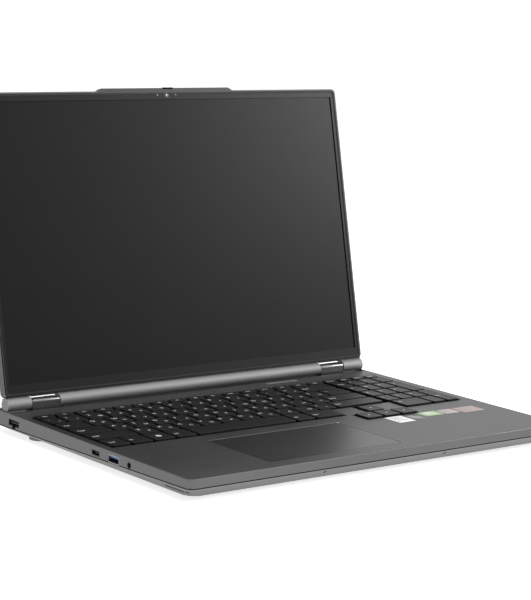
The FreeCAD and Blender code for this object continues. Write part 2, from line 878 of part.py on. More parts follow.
def hinge_bracket():
    """Steel knuckle of the right hinge, with a leg through the deck and a foot under it."""
    x0 = notch_centre_x - shaft_in_knuckle / 2
    knuckle = rod(knuckle_radius, shaft_in_knuckle, (x0, hinge_axis_y, hinge_axis_z), (1, 0, 0))
    half = bracket_leg_depth / 2
    leg = box((x0, hinge_axis_y - half, trough_under_z),
              (x0 + shaft_in_knuckle, hinge_axis_y + half, hinge_axis_z))
    reach = bracket_foot_overhang
    foot_front = hinge_axis_y - bracket_foot_depth + half
    foot = box((x0 - reach, foot_front, trough_under_z - bracket_foot_thickness),
               (x0 + shaft_in_knuckle + reach, hinge_axis_y + half, trough_under_z))
    bore_radius = shaft_radius + running_clearance
    bore = rod(bore_radius, shaft_in_knuckle, (x0, hinge_axis_y, hinge_axis_z), (1, 0, 0))
    body = fuse_all([knuckle, leg, foot]).cut(bore)
    holes = []
    for place in bracket_screw_places():
        holes.append(rod(hinge_screw_radius, bracket_foot_thickness, place, (0, 0, 1)))
    return cut_all(body, holes)


def bracket_screw_places():
    """Screw positions under the foot of the right bracket."""
    y = hinge_axis_y - bracket_foot_depth / 2
    z = trough_under_z - bracket_foot_thickness
    half = hinge_screw_spacing / 2
    return [(notch_centre_x + shift, y, z) for shift in (-half, half)]


def hinge_screws():
    """Screws that hold both hinge brackets up against the deck."""
    screws = []
    for x, y, z in bracket_screw_places():
        head = rod(hinge_screw_head, hinge_screw_head_height, (x, y, z - hinge_screw_head_height), (0, 0, 1))
        shank = rod(hinge_screw_radius, bracket_foot_thickness, (x, y, z), (0, 0, 1))
        screw = head.fuse(shank)
        screws += [screw, mirrored(screw)]
    return Part.makeCompound(screws)


# Lid parts are drawn upright with the hinge axis at the origin, the screen facing -y

def hinge_arm():
    """Flat arm inside the lid with the right hinge shaft."""
    inner_end = notch_centre_x - notch_width / 2
    start = inner_end - shaft_in_barrel
    length = notch_centre_x + shaft_in_knuckle / 2 - start - shaft_end_gap
    shaft = rod(shaft_radius, length, (start, 0, 0), (1, 0, 0))
    y0 = shaft_radius - arm_thickness / 2
    x1 = start + arm_width
    web = box((start, y0, 0), (x1, y0 + arm_thickness, arm_height))
    return shaft.fuse(web)


def hinge_barrel():
    """Round bar along the lid's lower edge, with a notch for each hinge."""
    start = -barrel_width / 2
    bar = rod(barrel_radius, barrel_width, (start, 0, 0), (1, 0, 0))
    neck = box((start, -barrel_neck_front, 0), (-start, barrel_neck_back, lid_bottom))
    bar = bar.fuse(neck)
    right = []
    x0 = notch_centre_x - notch_width / 2
    size = 2 * barrel_radius
    right.append(box((x0, -size, -size), (x0 + notch_width, size, size)))
    bore_start = x0 - shaft_in_barrel - arm_end_gap
    right.append(rod(shaft_radius + shaft_fit, shaft_in_barrel + cut_over, (bore_start, 0, 0), (1, 0, 0)))
    y0 = shaft_radius - arm_thickness / 2
    right.append(box((bore_start, y0 - arm_side_gap, 0),
                     (bore_start + arm_width + 2 * arm_end_gap, y0 + arm_thickness + arm_side_gap, size)))
    return cut_all(bar, right + [mirrored(tool) for tool in right])


def upright_slab(x0, x1, z0, z1, y0, y1, radius):
    """Upright plate with round corners, between two depths."""
    plate = slab(x0, x1, z0, z1, -y1, -y0, radius)
    return plate.rotate(Vector(0, 0, 0), Vector(1, 0, 0), 90)


def lid_cover():
    """Metal back of the lid with its rim and the raised strip at the top."""
    half = lid_width / 2
    block = upright_slab(-half, half, lid_bottom, lid_top, lid_front, lid_back, lid_corner_radius)
    back_rim = [e for e in block.Edges if e.BoundBox.YMin > lid_back - edge_tolerance]
    block = block.makeFillet(lid_back_thickness, back_rim)
    strip_points = [
        (-bump_half_width, lid_top - lid_wall), (bump_half_width, lid_top - lid_wall),
        (bump_half_width, lid_top), (bump_half_width - bump_end_slope, lid_top + bump_rise),
        (-bump_half_width + bump_end_slope, lid_top + bump_rise), (-bump_half_width, lid_top),
    ]
    strip = polygon_prism(strip_points, -lid_back + lid_back_thickness, -lid_front)
    strip = strip.rotate(Vector(0, 0, 0), Vector(1, 0, 0), 90)
    hollow = upright_slab(-half + lid_wall, half - lid_wall, lid_bottom + lid_wall, lid_top - lid_wall,
                          lid_front, lid_back - lid_back_thickness, lid_corner_radius - lid_wall)
    y0 = shaft_radius - arm_thickness / 2
    start = notch_centre_x - notch_width / 2 - shaft_in_barrel
    y1 = y0 + arm_thickness
    slot = box((start - arm_end_gap, y0 - arm_side_gap, lid_bottom - cut_over),
               (start + arm_width + arm_end_gap, y1 + arm_side_gap, lid_bottom + lid_wall + cut_over))
    return cut_all(block.fuse(strip).cut(hollow).removeSplitter(), [slot, mirrored(slot)])


def display_panel():
    """Screen panel behind the bezel."""
    half = active_width / 2 + panel_border
    front = lid_front + bezel_thickness
    return box((-half, front, active_above_axis - panel_border),
               (half, front + panel_thickness, active_above_axis + active_height + panel_border))


def display_bezel():
    """Black frame round the screen with the camera's hole."""
    gap = lid_wall + bezel_fit_gap
    half = lid_width / 2 - gap
    plate = upright_slab(-half, half, lid_bottom + gap, lid_top - gap, lid_front,
                         lid_front + bezel_thickness, lid_corner_radius - lid_wall)
    window = box((-active_width / 2, lid_front, active_above_axis),
                 (active_width / 2, lid_front + bezel_thickness, active_above_axis + active_height))
    z = active_above_axis + active_height + camera_above_active
    hole = rod(camera_radius, bezel_thickness, (0, lid_front, z), (0, 1, 0))
    return plate.cut(window).cut(hole)


def camera_module():
    """Camera lens on its narrow board behind the bezel."""
    z = active_above_axis + active_height + camera_above_active
    back = lid_front + bezel_thickness
    lens = rod(camera_radius - seat_clearance, bezel_thickness, (0, lid_front, z), (0, 1, 0))
    half_height = camera_board_height / 2
    board = box((-camera_board_width / 2, back, z - half_height + camera_board_trim),
                (camera_board_width / 2, back + camera_board_thickness, z + half_height))
    return lens.fuse(board)


def lid_seal():
    """Thin rubber line round the bezel's outer edge."""
    gap = lid_wall + bezel_fit_gap + seal_inset
    half = lid_width / 2 - gap
    y0 = lid_front - seal_height
    corner = lid_corner_radius - lid_wall
    outer = upright_slab(-half, half, lid_bottom + gap, lid_top - gap, y0, lid_front, corner)
    gap += seal_width
    half -= seal_width
    inner = upright_slab(-half, half, lid_bottom + gap, lid_top - gap, y0, lid_front, corner)
    return outer.cut(inner)


# Touchpad and power button

def pivot_place(side):
    """Start of one touchpad pivot pin, at the plate's side."""
    x = touchpad_centre_x + side * (touchpad_width / 2 - pivot_length)
    y = touchpad_front + touchpad_depth - pivot_from_rear
    z = deck_under_z - pivot_drop
    return x, y, z


def touchpad():
    """Glass touch plate with two pivot pins under its rear edge."""
    top = deck_z - touchpad_sink
    pieces = [slab(*touchpad_span(0), top - touchpad_thickness, top, touchpad_corner_radius)]
    for side in (-1, 1):
        x, y, z = pivot_place(side)
        lug_x = sorted((x, x - side * 2 * pivot_length))
        pieces.append(box((lug_x[0], y - pivot_lug_half, z - pivot_radius),
                          (lug_x[1], y + pivot_lug_half, top - touchpad_thickness)))
        pieces.append(rod(pivot_radius, 2 * pivot_length, (x, y, z), (side, 0, 0)))
    return fuse_all(pieces)


def touchpad_frame():
    """Bracket under the touchpad with an ear for each pivot pin."""
    bar_top = deck_under_z - frame_bar_drop
    pieces = []
    bores = []
    y_rear = pivot_place(1)[1]
    outer = touchpad_width / 2 + touchpad_gap + pivot_length
    bar_under = bar_top - frame_bar_thickness
    pieces.append(box((touchpad_centre_x - outer, y_rear - frame_bar_width / 2, bar_under),
                      (touchpad_centre_x + outer, y_rear + frame_bar_width / 2, bar_top)))
    pieces.append(box((touchpad_centre_x - frame_bar_width / 2, touchpad_front, bar_under),
                      (touchpad_centre_x + frame_bar_width / 2, y_rear, bar_top)))
    for side in (-1, 1):
        x, y, z = pivot_place(side)
        edge = touchpad_centre_x + side * (touchpad_width / 2 + touchpad_gap)
        x0, x1 = sorted((edge, edge + side * pivot_length))
        pieces.append(box((x0, y - frame_bar_width / 2, bar_under),
                          (x1, y + frame_bar_width / 2, deck_under_z)))
        bore_radius = pivot_radius + running_clearance
        bores.append(rod(bore_radius, 2 * pivot_length + cut_over, (x, y, z), (side, 0, 0)))
    return cut_all(fuse_all(pieces), bores)


def touchpad_switch():
    """Click switch under the front of the touchpad."""
    half = switch_size / 2
    y = touchpad_front + switch_size
    top = deck_z - touchpad_sink - touchpad_thickness - switch_gap
    return box((touchpad_centre_x - half, y - half, deck_under_z - frame_bar_drop),
               (touchpad_centre_x + half, y + half, top))


def power_slot(margin, z0, z1):
    """Plan shape of the power button, grown by a margin."""
    return slab(power_left - margin, power_left + power_width + margin, power_front - margin,
                power_front + power_depth + margin, z0, z1, power_depth / 2 - power_end_flat)


def power_stem_box(clearance, z0, z1):
    """Guide stem in the middle of the power button."""
    x = power_left + power_width / 2
    y = power_front + power_depth / 2
    half = power_stem / 2 + clearance
    return box((x - half, y - half, z0), (x + half, y + half, z1))


def power_button():
    """Slim button cap with its guide stem."""
    top = deck_z - power_sink
    low = top - power_cap_height
    return power_slot(0, low, top).fuse(power_stem_box(0, low - power_stem_length, low))


def power_guide():
    """Bracket under the deck that guides the power button."""
    margin = power_guide_margin
    x0 = power_left - margin
    x1 = power_left + power_width + margin
    y0 = power_front - margin
    y1 = power_front + power_depth + power_guide_rear
    low = deck_z - power_sink - power_cap_height - power_stem_length + power_guide_overlap
    block = box((x0, y0, low), (x1, y1, deck_under_z))
    room = power_slot(power_guide_room, low + power_guide_thickness, deck_under_z)
    hole = power_stem_box(key_stem_clearance, low, low + power_guide_thickness)
    return block.cut(room).cut(hole)


# Inner parts

def motherboard():
    """Main circuit board on the standoffs."""
    return box((board_left, board_front, board_z), (board_right, board_rear, board_top_z))


def processor():
    """Processor package in the middle of the main board."""
    half = processor_size / 2
    return box((-half, processor_y - half, board_top_z),
               (half, processor_y + half, board_top_z + processor_height))


def heat_pipes():
    """Flattened heat pipes from the processor plate to both sets of fins."""
    z0 = board_top_z + processor_height
    z1 = z0 + pipe_height
    half = processor_size / 2
    pieces = [box((-half, processor_y - half, z0), (half, pipe_run_y + pipe_width, z1))]
    fins_y = fan_centre_y + fan_size / 2
    inner_x = fan_centre_x - fan_size / 2 - pipe_width - pipe_fan_gap
    outer_x = fan_centre_x + fins_width / 2
    for side in (-1, 1):
        spans = [
            (half - pipe_overlap, inner_x + pipe_width, pipe_run_y, pipe_run_y + pipe_width),
            (inner_x, inner_x + pipe_width, pipe_run_y, fins_y + fins_depth),
            (inner_x, outer_x, fins_y + fins_gap, fins_y + fins_depth),
        ]
        for x0, x1, y0, y1 in spans:
            a, b = sorted((side * x0, side * x1))
            pieces.append(box((a, y0, z0), (b, y1, z1)))
    return fuse_all(pieces)


def cooling_fins(side):
    """Comb of thin fins under the end of a heat pipe, in the fan's outlet."""
    y0 = fan_centre_y + fan_size / 2 + fins_gap
    y1 = y0 + fins_depth
    z1 = board_top_z + processor_height
    first = side * fan_centre_x - fins_width / 2
    count = int(fins_width / fin_pitch)
    pieces = [box((first, y0, z1 - fin_thickness), (first + fins_width, y1, z1))]
    for number in range(count):
        x = first + number * fin_pitch
        pieces.append(box((x, y0, floor_z), (x + fin_thickness, y1, z1 - fin_thickness)))
    return fuse_all(pieces)


def fan_housing():
    """Right fan housing with intake, outlet to the rear and a bearing boss."""
    half = fan_size / 2
    x, y = fan_centre_x, fan_centre_y
    top = floor_z + fan_height
    block = box((x - half, y - half, floor_z), (x + half, y + half, top))
    low = floor_z + fan_plate
    high = top - fan_plate
    cavity = rod(fan_cavity_radius, high - low, (x, y, low), (0, 0, 1))
    outlet = box((x - fins_width / 2, y, low), (x + fins_width / 2, y + half, high))
    upper = rod(fan_intake_radius, fan_plate, (x, y, high), (0, 0, 1))
    lower = rod(fan_intake_radius, fan_plate, (x, y, floor_z), (0, 0, 1))
    spokes = []
    for angle in fan_spoke_angles:
        spoke = box((x, y - fan_spoke_half, floor_z), (x + fan_intake_radius, y + fan_spoke_half, low))
        spokes.append(spoke.rotate(Vector(x, y, 0), Vector(0, 0, 1), angle))
    lower = lower.cut(Part.makeCompound(spokes))
    boss = rod(fan_boss_radius, fan_plate + fan_boss_height, (x, y, floor_z), (0, 0, 1))
    bore = rod(fan_shaft_radius + running_clearance, fan_boss_height, (x, y, low), (0, 0, 1))
    return cut_all(block, [cavity, outlet, upper, lower]).fuse(boss).cut(bore)


def fan_rotor():
    """Right fan rotor: hub, shaft and thin blades."""
    x, y = fan_centre_x, fan_centre_y
    low = floor_z + fan_plate + fan_rim_gap
    high = floor_z + fan_height - fan_plate - fan_rim_gap
    hub = rod(fan_hub_radius, high - low, (x, y, low), (0, 0, 1))
    roof = high - fan_hub_wall
    hub = hub.cut(rod(fan_hub_radius - fan_hub_wall, roof - low, (x, y, low), (0, 0, 1)))
    start = floor_z + fan_plate + fan_rim_gap / 2
    shaft = rod(fan_shaft_radius, roof - start + fan_shaft_overlap, (x, y, start), (0, 0, 1))
    pieces = [hub, shaft]
    for number in range(fan_blade_count):
        blade = box((x + fan_hub_radius - fan_blade_root, y, low + fan_blade_gap),
                    (x + fan_blade_radius, y + fan_blade_thickness, high - fan_blade_gap))
        pieces.append(blade.rotate(Vector(x, y, 0), Vector(0, 0, 1), 360.0 * number / fan_blade_count))
    return fuse_all(pieces)


def battery():
    """Flat battery pack behind the front edge."""
    return slab(-battery_half_width, battery_half_width, battery_front, battery_front + battery_depth,
                floor_z, floor_z + battery_height, battery_corner_radius)


def speakers():
    """One speaker box in each front corner."""
    x0 = speaker_centre_x - speaker_width / 2
    one = slab(x0, x0 + speaker_width, speaker_front, speaker_front + speaker_depth, floor_z,
               floor_z + speaker_height, speaker_corner_radius)
    return Part.makeCompound([one, mirrored(one)])


def board_card(x, y, length, width, height):
    """Flat card lying on the main board."""
    return box((x, y, board_top_z), (x + length, y + width, board_top_z + height))


def storage_drive():
    """Storage card at the front left of the main board."""
    return board_card(board_left + drive_from_board_left, board_front + drive_from_board_front,
                      drive_length, drive_width, drive_height)


def memory_modules():
    """Two memory cards at the right of the main board."""
    x = board_right - memory_from_board_right
    first_y = board_front + memory_from_board_front
    cards = []
    for y in (first_y, first_y + memory_pitch):
        cards.append(board_card(x, y, memory_length, memory_width, memory_height))
    return Part.makeCompound(cards)


def wireless_card():
    """Radio card behind the storage card."""
    return board_card(board_left + wireless_from_board_left, board_front + wireless_from_board_front,
                      wireless_length, wireless_width, wireless_height)


# Assembly

def lid_pose(shape):
    """Lean an upright lid part back and move it to the hinge."""
    leaned = shape.rotate(Vector(0, 0, 0), Vector(1, 0, 0), -lid_lean)
    leaned.translate(Vector(0, hinge_axis_y, hinge_axis_z))
    return leaned


right_cover = hinge_cover()
right_bracket = hinge_bracket()
right_arm = hinge_arm()
right_fan = fan_housing()
right_rotor = fan_rotor()

nodes = {
    "top_case": top_case(),
    "bottom_cover": bottom_cover(),
    "bottom_screws": bottom_screws(),
    "rear_foot": rear_foot(),
    "front_feet": front_feet(),
    "keyboard_plate": keyboard_plate(),
    "hinge_cover_left": mirrored(right_cover),
    "hinge_cover_right": right_cover,
    "hinge_bracket_left": mirrored(right_bracket),
    "hinge_bracket_right": right_bracket,
    "hinge_screws": hinge_screws(),
    "motherboard": motherboard(),
    "processor": processor(),
    "heat_pipes": heat_pipes(),
    "cooling_fins": Part.makeCompound([cooling_fins(-1), cooling_fins(1)]),
    "fan_housing_left": mirrored(right_fan),
    "fan_housing_right": right_fan,
    "battery": battery(),
    "speakers": speakers(),
    "storage_drive": storage_drive(),
    "memory_modules": memory_modules(),
    "wireless_card": wireless_card(),
    "io_boards": io_boards(),
    "usb_a_socket_left": usb_a_socket(-1, usb_a_y),
    "usb_a_socket_right": usb_a_socket(1, right_usb_y),
    "usb_c_socket": usb_c_socket(),
    "video_socket": socket(1, video_y, video_drop, video_width, video_height, video_depth)[0],
    "audio_socket": audio_socket(),
    "power_inlet": power_inlet(),
    "touchpad_frame": touchpad_frame(),
    "touchpad_switch": touchpad_switch(),
    "power_guide": power_guide(),
    "touchpad": touchpad(),
    "power_button": power_button(),
    "fan_rotor_left": mirrored(right_rotor),
    "fan_rotor_right": right_rotor,
    "lid_cover": lid_pose(lid_cover()),
    "display_panel": lid_pose(display_panel()),
    "display_bezel": lid_pose(display_bezel()),
    "camera_module": lid_pose(camera_module()),
    "lid_seal": lid_pose(lid_seal()),
    "hinge_barrel": lid_pose(hinge_barrel()),
    "hinge_arm_left": lid_pose(mirrored(right_arm)),
    "hinge_arm_right": lid_pose(right_arm),
}
for name, cells in key_cells.items():
    nodes[name] = Part.makeCompound([key_solid(cell) for cell in cells])

bounds = FreeCAD.BoundBox()
for shape in nodes.values():
    bounds.add(shape.optimalBoundingBox(False))
origin = Vector((bounds.XMin + bounds.XMax) / 2, (bounds.YMin + bounds.YMax) / 2, bounds.ZMin)

os.makedirs("parts", exist_ok=True)
for name, shape in nodes.items():
    shape.translate(-origin)
    shape.exportStep("parts/" + name + ".step")
    print(name, len(shape.Solids), shape.isValid(), round(shape.Volume, 1))
print("origin in the drawing frame", origin, "files", len(nodes))
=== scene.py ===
import json
import math

import bmesh
import bpy
from mathutils import Matrix, Vector


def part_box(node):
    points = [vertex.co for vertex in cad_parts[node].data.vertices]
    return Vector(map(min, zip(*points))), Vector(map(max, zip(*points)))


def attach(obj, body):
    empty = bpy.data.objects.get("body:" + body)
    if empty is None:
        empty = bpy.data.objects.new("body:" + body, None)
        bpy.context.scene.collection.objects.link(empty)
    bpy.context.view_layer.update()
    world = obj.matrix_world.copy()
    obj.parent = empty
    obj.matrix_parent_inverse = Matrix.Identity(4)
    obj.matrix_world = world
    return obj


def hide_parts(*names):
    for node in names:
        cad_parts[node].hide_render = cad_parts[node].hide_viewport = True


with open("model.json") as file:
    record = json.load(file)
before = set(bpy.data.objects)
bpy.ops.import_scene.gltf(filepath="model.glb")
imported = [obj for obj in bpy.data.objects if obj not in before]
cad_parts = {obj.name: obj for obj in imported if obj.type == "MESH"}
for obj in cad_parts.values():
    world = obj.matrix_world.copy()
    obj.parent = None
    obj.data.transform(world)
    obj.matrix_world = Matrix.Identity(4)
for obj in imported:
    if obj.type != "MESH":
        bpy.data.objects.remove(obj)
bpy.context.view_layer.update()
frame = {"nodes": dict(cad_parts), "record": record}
record = frame["record"]

MM = 0.001

# Camera: place from the middle of the deck's front edge in metres, turns in radians, lens and sensor
# in millimetres, and the far end of its view in metres
CAMERA_FROM_DECK_EDGE = Vector((-0.984478, -1.073708, 0.345108))
CAMERA_AZIMUTH = -0.677778
CAMERA_ELEVATION = 0.163617
CAMERA_ROLL = 0.040929
CAMERA_LENS = 124.595
CAMERA_SENSOR = 36.0
CAMERA_CLIP = 100.0

# Studio: lamps by name, place, target, size in metres and power in watts; then the floor in metres,
# its colour and its own glow where it is seen, and the light of the surround
LAMPS = (
    ("top_lamp", (-0.3, -0.35, 1.9), (0.0, 0.0, 0.0), 1.4, 26.0),
    ("side_lamp", (1.81, -1.05, 0.92), (0.0, 0.12, 0.14), 0.7, 33.0),
)
FLOOR_REACH = 30.0
FLOOR_THICKNESS = 0.02
FLOOR_COLOUR = (0.80, 0.80, 0.80, 1.0)
FLOOR_ROUGHNESS = 0.9
FLOOR_GLOW = 0.72
SURROUND_LIGHT = 0.40
WHITE = (1.0, 1.0, 1.0, 1.0)

# Finishes: the range of noise that colours and gloss are spread over, the detail and shares of clouds
# and grain, the depth of the grain, and the blue of a grey against its red and green
NOISE_LOW = 0.3
NOISE_HIGH = 0.7
NOISE_ROUGHNESS = 0.6
CLOUD_DETAIL = 4.0
GRAIN_DETAIL = 2.0
CLOUD_SHARE = 0.6
GRAIN_SHARE = 0.4
GRAIN_DEPTH = 0.05 * MM
GREY_BLUE = 1.015

# Meshes: steps of a quarter round and of round corners, the least radius of a corner, the angle in degrees
# up to which faces shade softly, and the distance within which points are one
ROUND_STEPS = 3
CORNER_STEPS = 4
FINE_CORNER_STEPS = 6
LEAST_CORNER = 0.05 * MM
SMOOTH_ANGLE = 35.0
WELD_DISTANCE = 0.001 * MM

# Key caps: skirt, rounded shoulder, dished top and guide stem
CAP_HEIGHT = 2.2 * MM
CAP_FOOT_HEIGHT = 0.15 * MM
CAP_FOOT_INSET = 0.02 * MM
CAP_TAPER = 0.36 * MM
CAP_BEVEL = 0.35 * MM
CAP_CORNER = 1.7 * MM
CAP_CORNER_STEPS = 5
CAP_CORNER_SHRINK = 0.8
CAP_LEAST_CORNER = 0.15 * MM
CAP_MOST_CORNER = 0.95
CAP_SMOOTH_ANGLE = 50.0
# Least upward share of a face's normal for a cap top; steeper faces get the darker side finish, painted
# shade
CAP_TOP_SLOPE = 0.6
DISH_DEPTH = 0.16 * MM
DISH_SHARES = (0.18, 0.40, 0.65, 0.85)
STEM_HALF = 2.0 * MM
ROW_TOLERANCE = 4.0 * MM

# Legends: depth below the cap's rim near its edge and in its middle, sizes and places on a key
LEGEND_DEPTH = 0.018 * MM
MIDDLE_DEPTH = 0.114 * MM
LEGEND_WEIGHT = 0.09 * MM
LEGEND_RESOLUTION = 3
LETTER_SIZE = 4.6 * MM
LETTER_SIDE = 0.22
LETTER_FROM_REAR = 0.30
LETTER_DROP = 2.4 * MM
SECOND_SIZE = 4.0 * MM
SECOND_SIDE = 0.60
SECOND_FROM_REAR = 0.64
SECOND_DROP = 2.0 * MM
LETTER_KEY_WIDTH = 17.1 * MM
LETTER_KEY_DEPTH = 19.6 * MM
WORD_SIZE = 3.2 * MM
WORD_SIDE = 2.4 * MM
WORD_FROM_FRONT = 0.40
SHORT_KEY_DEPTH = 10.0 * MM
SHORT_WORD_SIZE = 2.88 * MM
ARROW_REACH = 1.5 * MM
ARROW_SIDES = 3
DOT_RADIUS = 2.4 * MM
DOT_SIDES = 16

# Legends of each group, by rows from the rear and from left to right
LEGENDS = {
    "function_keys": "Esc F1 F2 F3 F4 F5 F6 F7 F8 F9 F10 F11 F12 Ins Prt Del Home End PgUp PgDn".split(),
    "number_keys": "` 1 2 3 4 5 6 7 8 9 0 - =".split(),
    "backspace_key": ["Back"],
    "upper_letter_keys": "Tab Q W E R T Y U I O P [ ] \\".split(),
    "home_letter_keys": "Caps A S D F G H J K L ; '".split(),
    "enter_key": ["Enter"],
    "left_shift_key": ["Shift"],
    "lower_letter_keys": "Z X C V B N M , . /".split(),
    "right_shift_key": ["Shift"],
    "modifier_keys": "Ctrl Fn dot Alt Alt Ctrl".split(),
    "number_pad_keys": "Num / * - 7 8 9 + 4 5 6 1 2 3 Ent 0 .".split(),
    "arrow_left_key": ["left"],
    "arrow_down_key": ["down"],
    "arrow_right_key": ["right"],
    "arrow_up_key": ["up"],
}
SECOND_LEGENDS = {
    "number_keys": "~ ! @ # $ % ^ & * ( ) _ +".split(),
    "upper_letter_keys": " ЙЦУКЕНГШЩЗХЪ ",
    "home_letter_keys": " ФЫВАПРОЛДЖЭ",
    "lower_letter_keys": "ЯЧСМИТЬБЮ?",
}

# Directions of the arrow marks, in degrees from the right
ARROW_TURNS = {"up": 90.0, "left": 180.0, "down": 270.0, "right": 360.0}

# Blank labels: name, ink of their bars, then x0, x1, y0, y1 in millimetres
# from the middle of the deck's front edge
LABELS = (
    ("white", "label_ink", 66.0, 82.5, 62.0, 80.5),
    ("dark", "label_pale", 84.5, 95.5, 64.5, 80.0),
    ("green", "label_white", 99.5, 118.5, 68.5, 81.5),
    ("pale", "label_ink", 120.0, 134.5, 68.0, 80.5),
    ("rose", "label_ink", 136.0, 158.5, 64.5, 80.5),
)
LABEL_THICKNESS = 0.12 * MM
LABEL_BEVEL = 0.048 * MM
LABEL_CORNER = 0.8 * MM

# Bars on a label: left margin, then each bar's place from the front and right margin, as shares of the label
BAR_MARGIN = 0.18
BARS = ((0.30, 0.18), (0.52, 0.268), (0.70, 0.34))
BAR_WIDTH = 1.3 * MM
BAR_THICKNESS = 0.02 * MM
BAR_CORNER = 0.3 * MM
BAR_BEVEL = 0.005 * MM
BAR_CORNER_STEPS = 2

# Touchpad: its side pins, its corners, and rings given by their distance outside the plate and their rise,
# in millimetres, for the bevel of the opening, a painted highlight in a lighter metal, and for the black
# ring above the plate, painted shade of the gap
TOUCHPAD_PIN = 3.0 * MM
TOUCHPAD_CORNER = 2.0 * MM
TOUCHPAD_BEVEL = ((0.95, 0.004), (0.80, 0.03), (0.35, 0.02), (0.08, -0.22))
TOUCHPAD_GAP_SHADE = ((-0.03, -0.05), (-0.05, 0.015), (-0.50, 0.015), (-0.52, -0.05))

# Black sheet on the floor of the hinge trough, painted shade, measured from the hinge covers
TROUGH_SHADE_SIDE_GAP = 1.0 * MM
TROUGH_SHADE_FRONT = 2.6 * MM
TROUGH_SHADE_REAR = 3.4 * MM
TROUGH_SHADE_THICKNESS = 0.15 * MM
TROUGH_SHADE_CORNER = 0.5 * MM
TROUGH_SHADE_BEVEL = 0.05 * MM

# Rim of a hinge cover: inset and rise of each ring, in millimetres
CREST_PROFILE = ((0.0, -0.05), (0.10, 0.40), (0.45, 0.85), (0.95, 1.20), (1.08, 1.10), (1.08, -0.05))
CREST_CORNER = 0.25 * MM
CREST_CORNER_STEPS = 3

# Power button
BUTTON_CAP = 1.1 * MM
BUTTON_END_FLAT = 0.3 * MM
BUTTON_BEVEL = 0.4 * MM
BUTTON_STEM_HALF = 1.5 * MM

# Joint of the base below the deck, at the front and at the rear, and the rings of the black band in its
# groove,
# a painted shade: inset and lift in millimetres
PARTING_FRONT = 7.2 * MM
PARTING_REAR = 11.6 * MM
PARTING_CORNER = 6.0 * MM
PARTING_CORNER_STEPS = 8
PARTING_PROFILE = ((0.62, 0.06), (0.30, 0.06), (0.25, 0.20), (0.25, 0.50), (0.30, 0.64), (0.62, 0.64))

# Black pads over the openings in the slanted sides: partly the speaker mesh, partly painted shade of the
# openings
SPEAKER_COUNT = 8
SPEAKER_FIRST = 7.5 * MM
SPEAKER_PITCH = 3.2 * MM
SPEAKER_LENGTH = 1.6 * MM
SPEAKER_DROP = 11.0 * MM
SPEAKER_HALF_HEIGHT = 0.85 * MM
SPEAKER_MARGIN = 0.3 * MM
SPEAKER_PAD_ROOT = 0.3 * MM
SPEAKER_PAD_RISE = 0.08 * MM
WALL_CAST_FROM = 1.0

# Tongues of the wide sockets, measured from the socket's mouth, its top and its side walls
TONGUE_FROM_TOP = 0.76 * MM
TONGUE_THICKNESS = 1.28 * MM
TONGUE_FRONT = 0.9 * MM
TONGUE_BACK = 12.0 * MM
TONGUE_SIDE_GAP = 1.0 * MM
TONGUE_BEVEL = 0.12 * MM
TONGUE_BEVEL_STEPS = 2
CONTACT_PLACES = (-3.5, -1.1, 1.1, 3.5)
CONTACT_HALF = 0.5 * MM
CONTACT_FRONT = 1.6 * MM
CONTACT_BACK = 9.0 * MM
CONTACT_BELOW = 0.05 * MM
CONTACT_ABOVE = 0.02 * MM

# Lid: its lean back from upright in degrees, and the depth within which points lie on the camera's face
LID_LEAN = 12.876
FACE_TOLERANCE = 0.02 * MM

# Camera ring: radius and lift of each circle; then the round marks beside it
LENS_RING = ((2.1 * MM, 0.0), (2.0 * MM, 0.12 * MM), (1.55 * MM, 0.12 * MM), (1.4 * MM, 0.0))
LENS_RING_SIDES = 32
MARK_LIFT = 0.02 * MM
# Glints: white discs on the lens and the status lights, painted highlights
GLINTS = ((0.0, 0.85 * MM), (-9.0 * MM, 0.45 * MM), (9.0 * MM, 0.45 * MM))
GLINT_SIDES = 24
MICROPHONES = (-42.0 * MM, -38.0 * MM, 38.0 * MM, 42.0 * MM)
MICROPHONE_RADIUS = 0.5 * MM
MICROPHONE_SIDES = 12

# Trim along the bezel's lower edge, measured from the lid's foot, and its lip over each hinge;
# a layer has a lift and an inset
TRIM_SIDE_INSET = 1.3 * MM
TRIM_LOW = 0.05 * MM
TRIM_HIGH = 1.35 * MM
TRIM_LAYERS = ((0.0, 0.0), (0.06 * MM, 0.0), (0.10 * MM, 0.04 * MM))
LIP_LOW = -0.6 * MM
LIP_HIGH = 0.2 * MM
LIP_LIFTS = (-0.9 * MM, 0.08 * MM)

# Face of the raised camera strip, measured down from the lid's top, and the shutter, measured up from it
STRIP_HALF = 66.4 * MM
STRIP_TOP_HALF = 62.6 * MM
STRIP_LOW = 3.8 * MM
STRIP_SHOULDER = 2.4 * MM
STRIP_HIGH = 0.25 * MM
STRIP_LIFT = 0.12 * MM
SHUTTER_SPAN = (-3.4 * MM, 6.6 * MM)
SHUTTER_LOW = -0.95 * MM
SHUTTER_HIGH = 0.35 * MM
SHUTTER_LAYERS = ((-1.6 * MM, 0.0), (0.22 * MM, 0.0), (0.30 * MM, 0.15 * MM))


def node_box(name):
    """Lower and upper corner of a CAD node."""
    low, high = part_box(name)
    return Vector(low), Vector(high)


deck_low, deck_high = node_box("top_case")
DECK_Z = deck_high.z
DECK_FRONT = deck_low.y


def deck_point(x, y):
    """Point on the deck, in millimetres from the middle of its front edge."""
    return Vector((x * MM, DECK_FRONT + y * MM, DECK_Z))


# Material helpers, and the finishes by name

materials = {}


def node(tree, kind, **inputs):
    """New shader node with some of its input sockets set."""
    made = tree.nodes.new(kind)
    for name, value in inputs.items():
        made.inputs[name.replace("_", " ")].default_value = value
    return made


def noise(tree, scale, detail, stretch=None):
    """Noise over the object's own coordinates, with an optional scale for each axis."""
    coordinates = tree.nodes.new("ShaderNodeTexCoord")
    made = node(tree, "ShaderNodeTexNoise", Scale=scale, Detail=detail, Roughness=NOISE_ROUGHNESS)
    source = coordinates.outputs["Object"]
    if stretch:
        mapping = node(tree, "ShaderNodeMapping", Scale=stretch)
        tree.links.new(source, mapping.inputs["Vector"])
        source = mapping.outputs["Vector"]
    tree.links.new(source, made.inputs["Vector"])
    return made.outputs["Fac"]


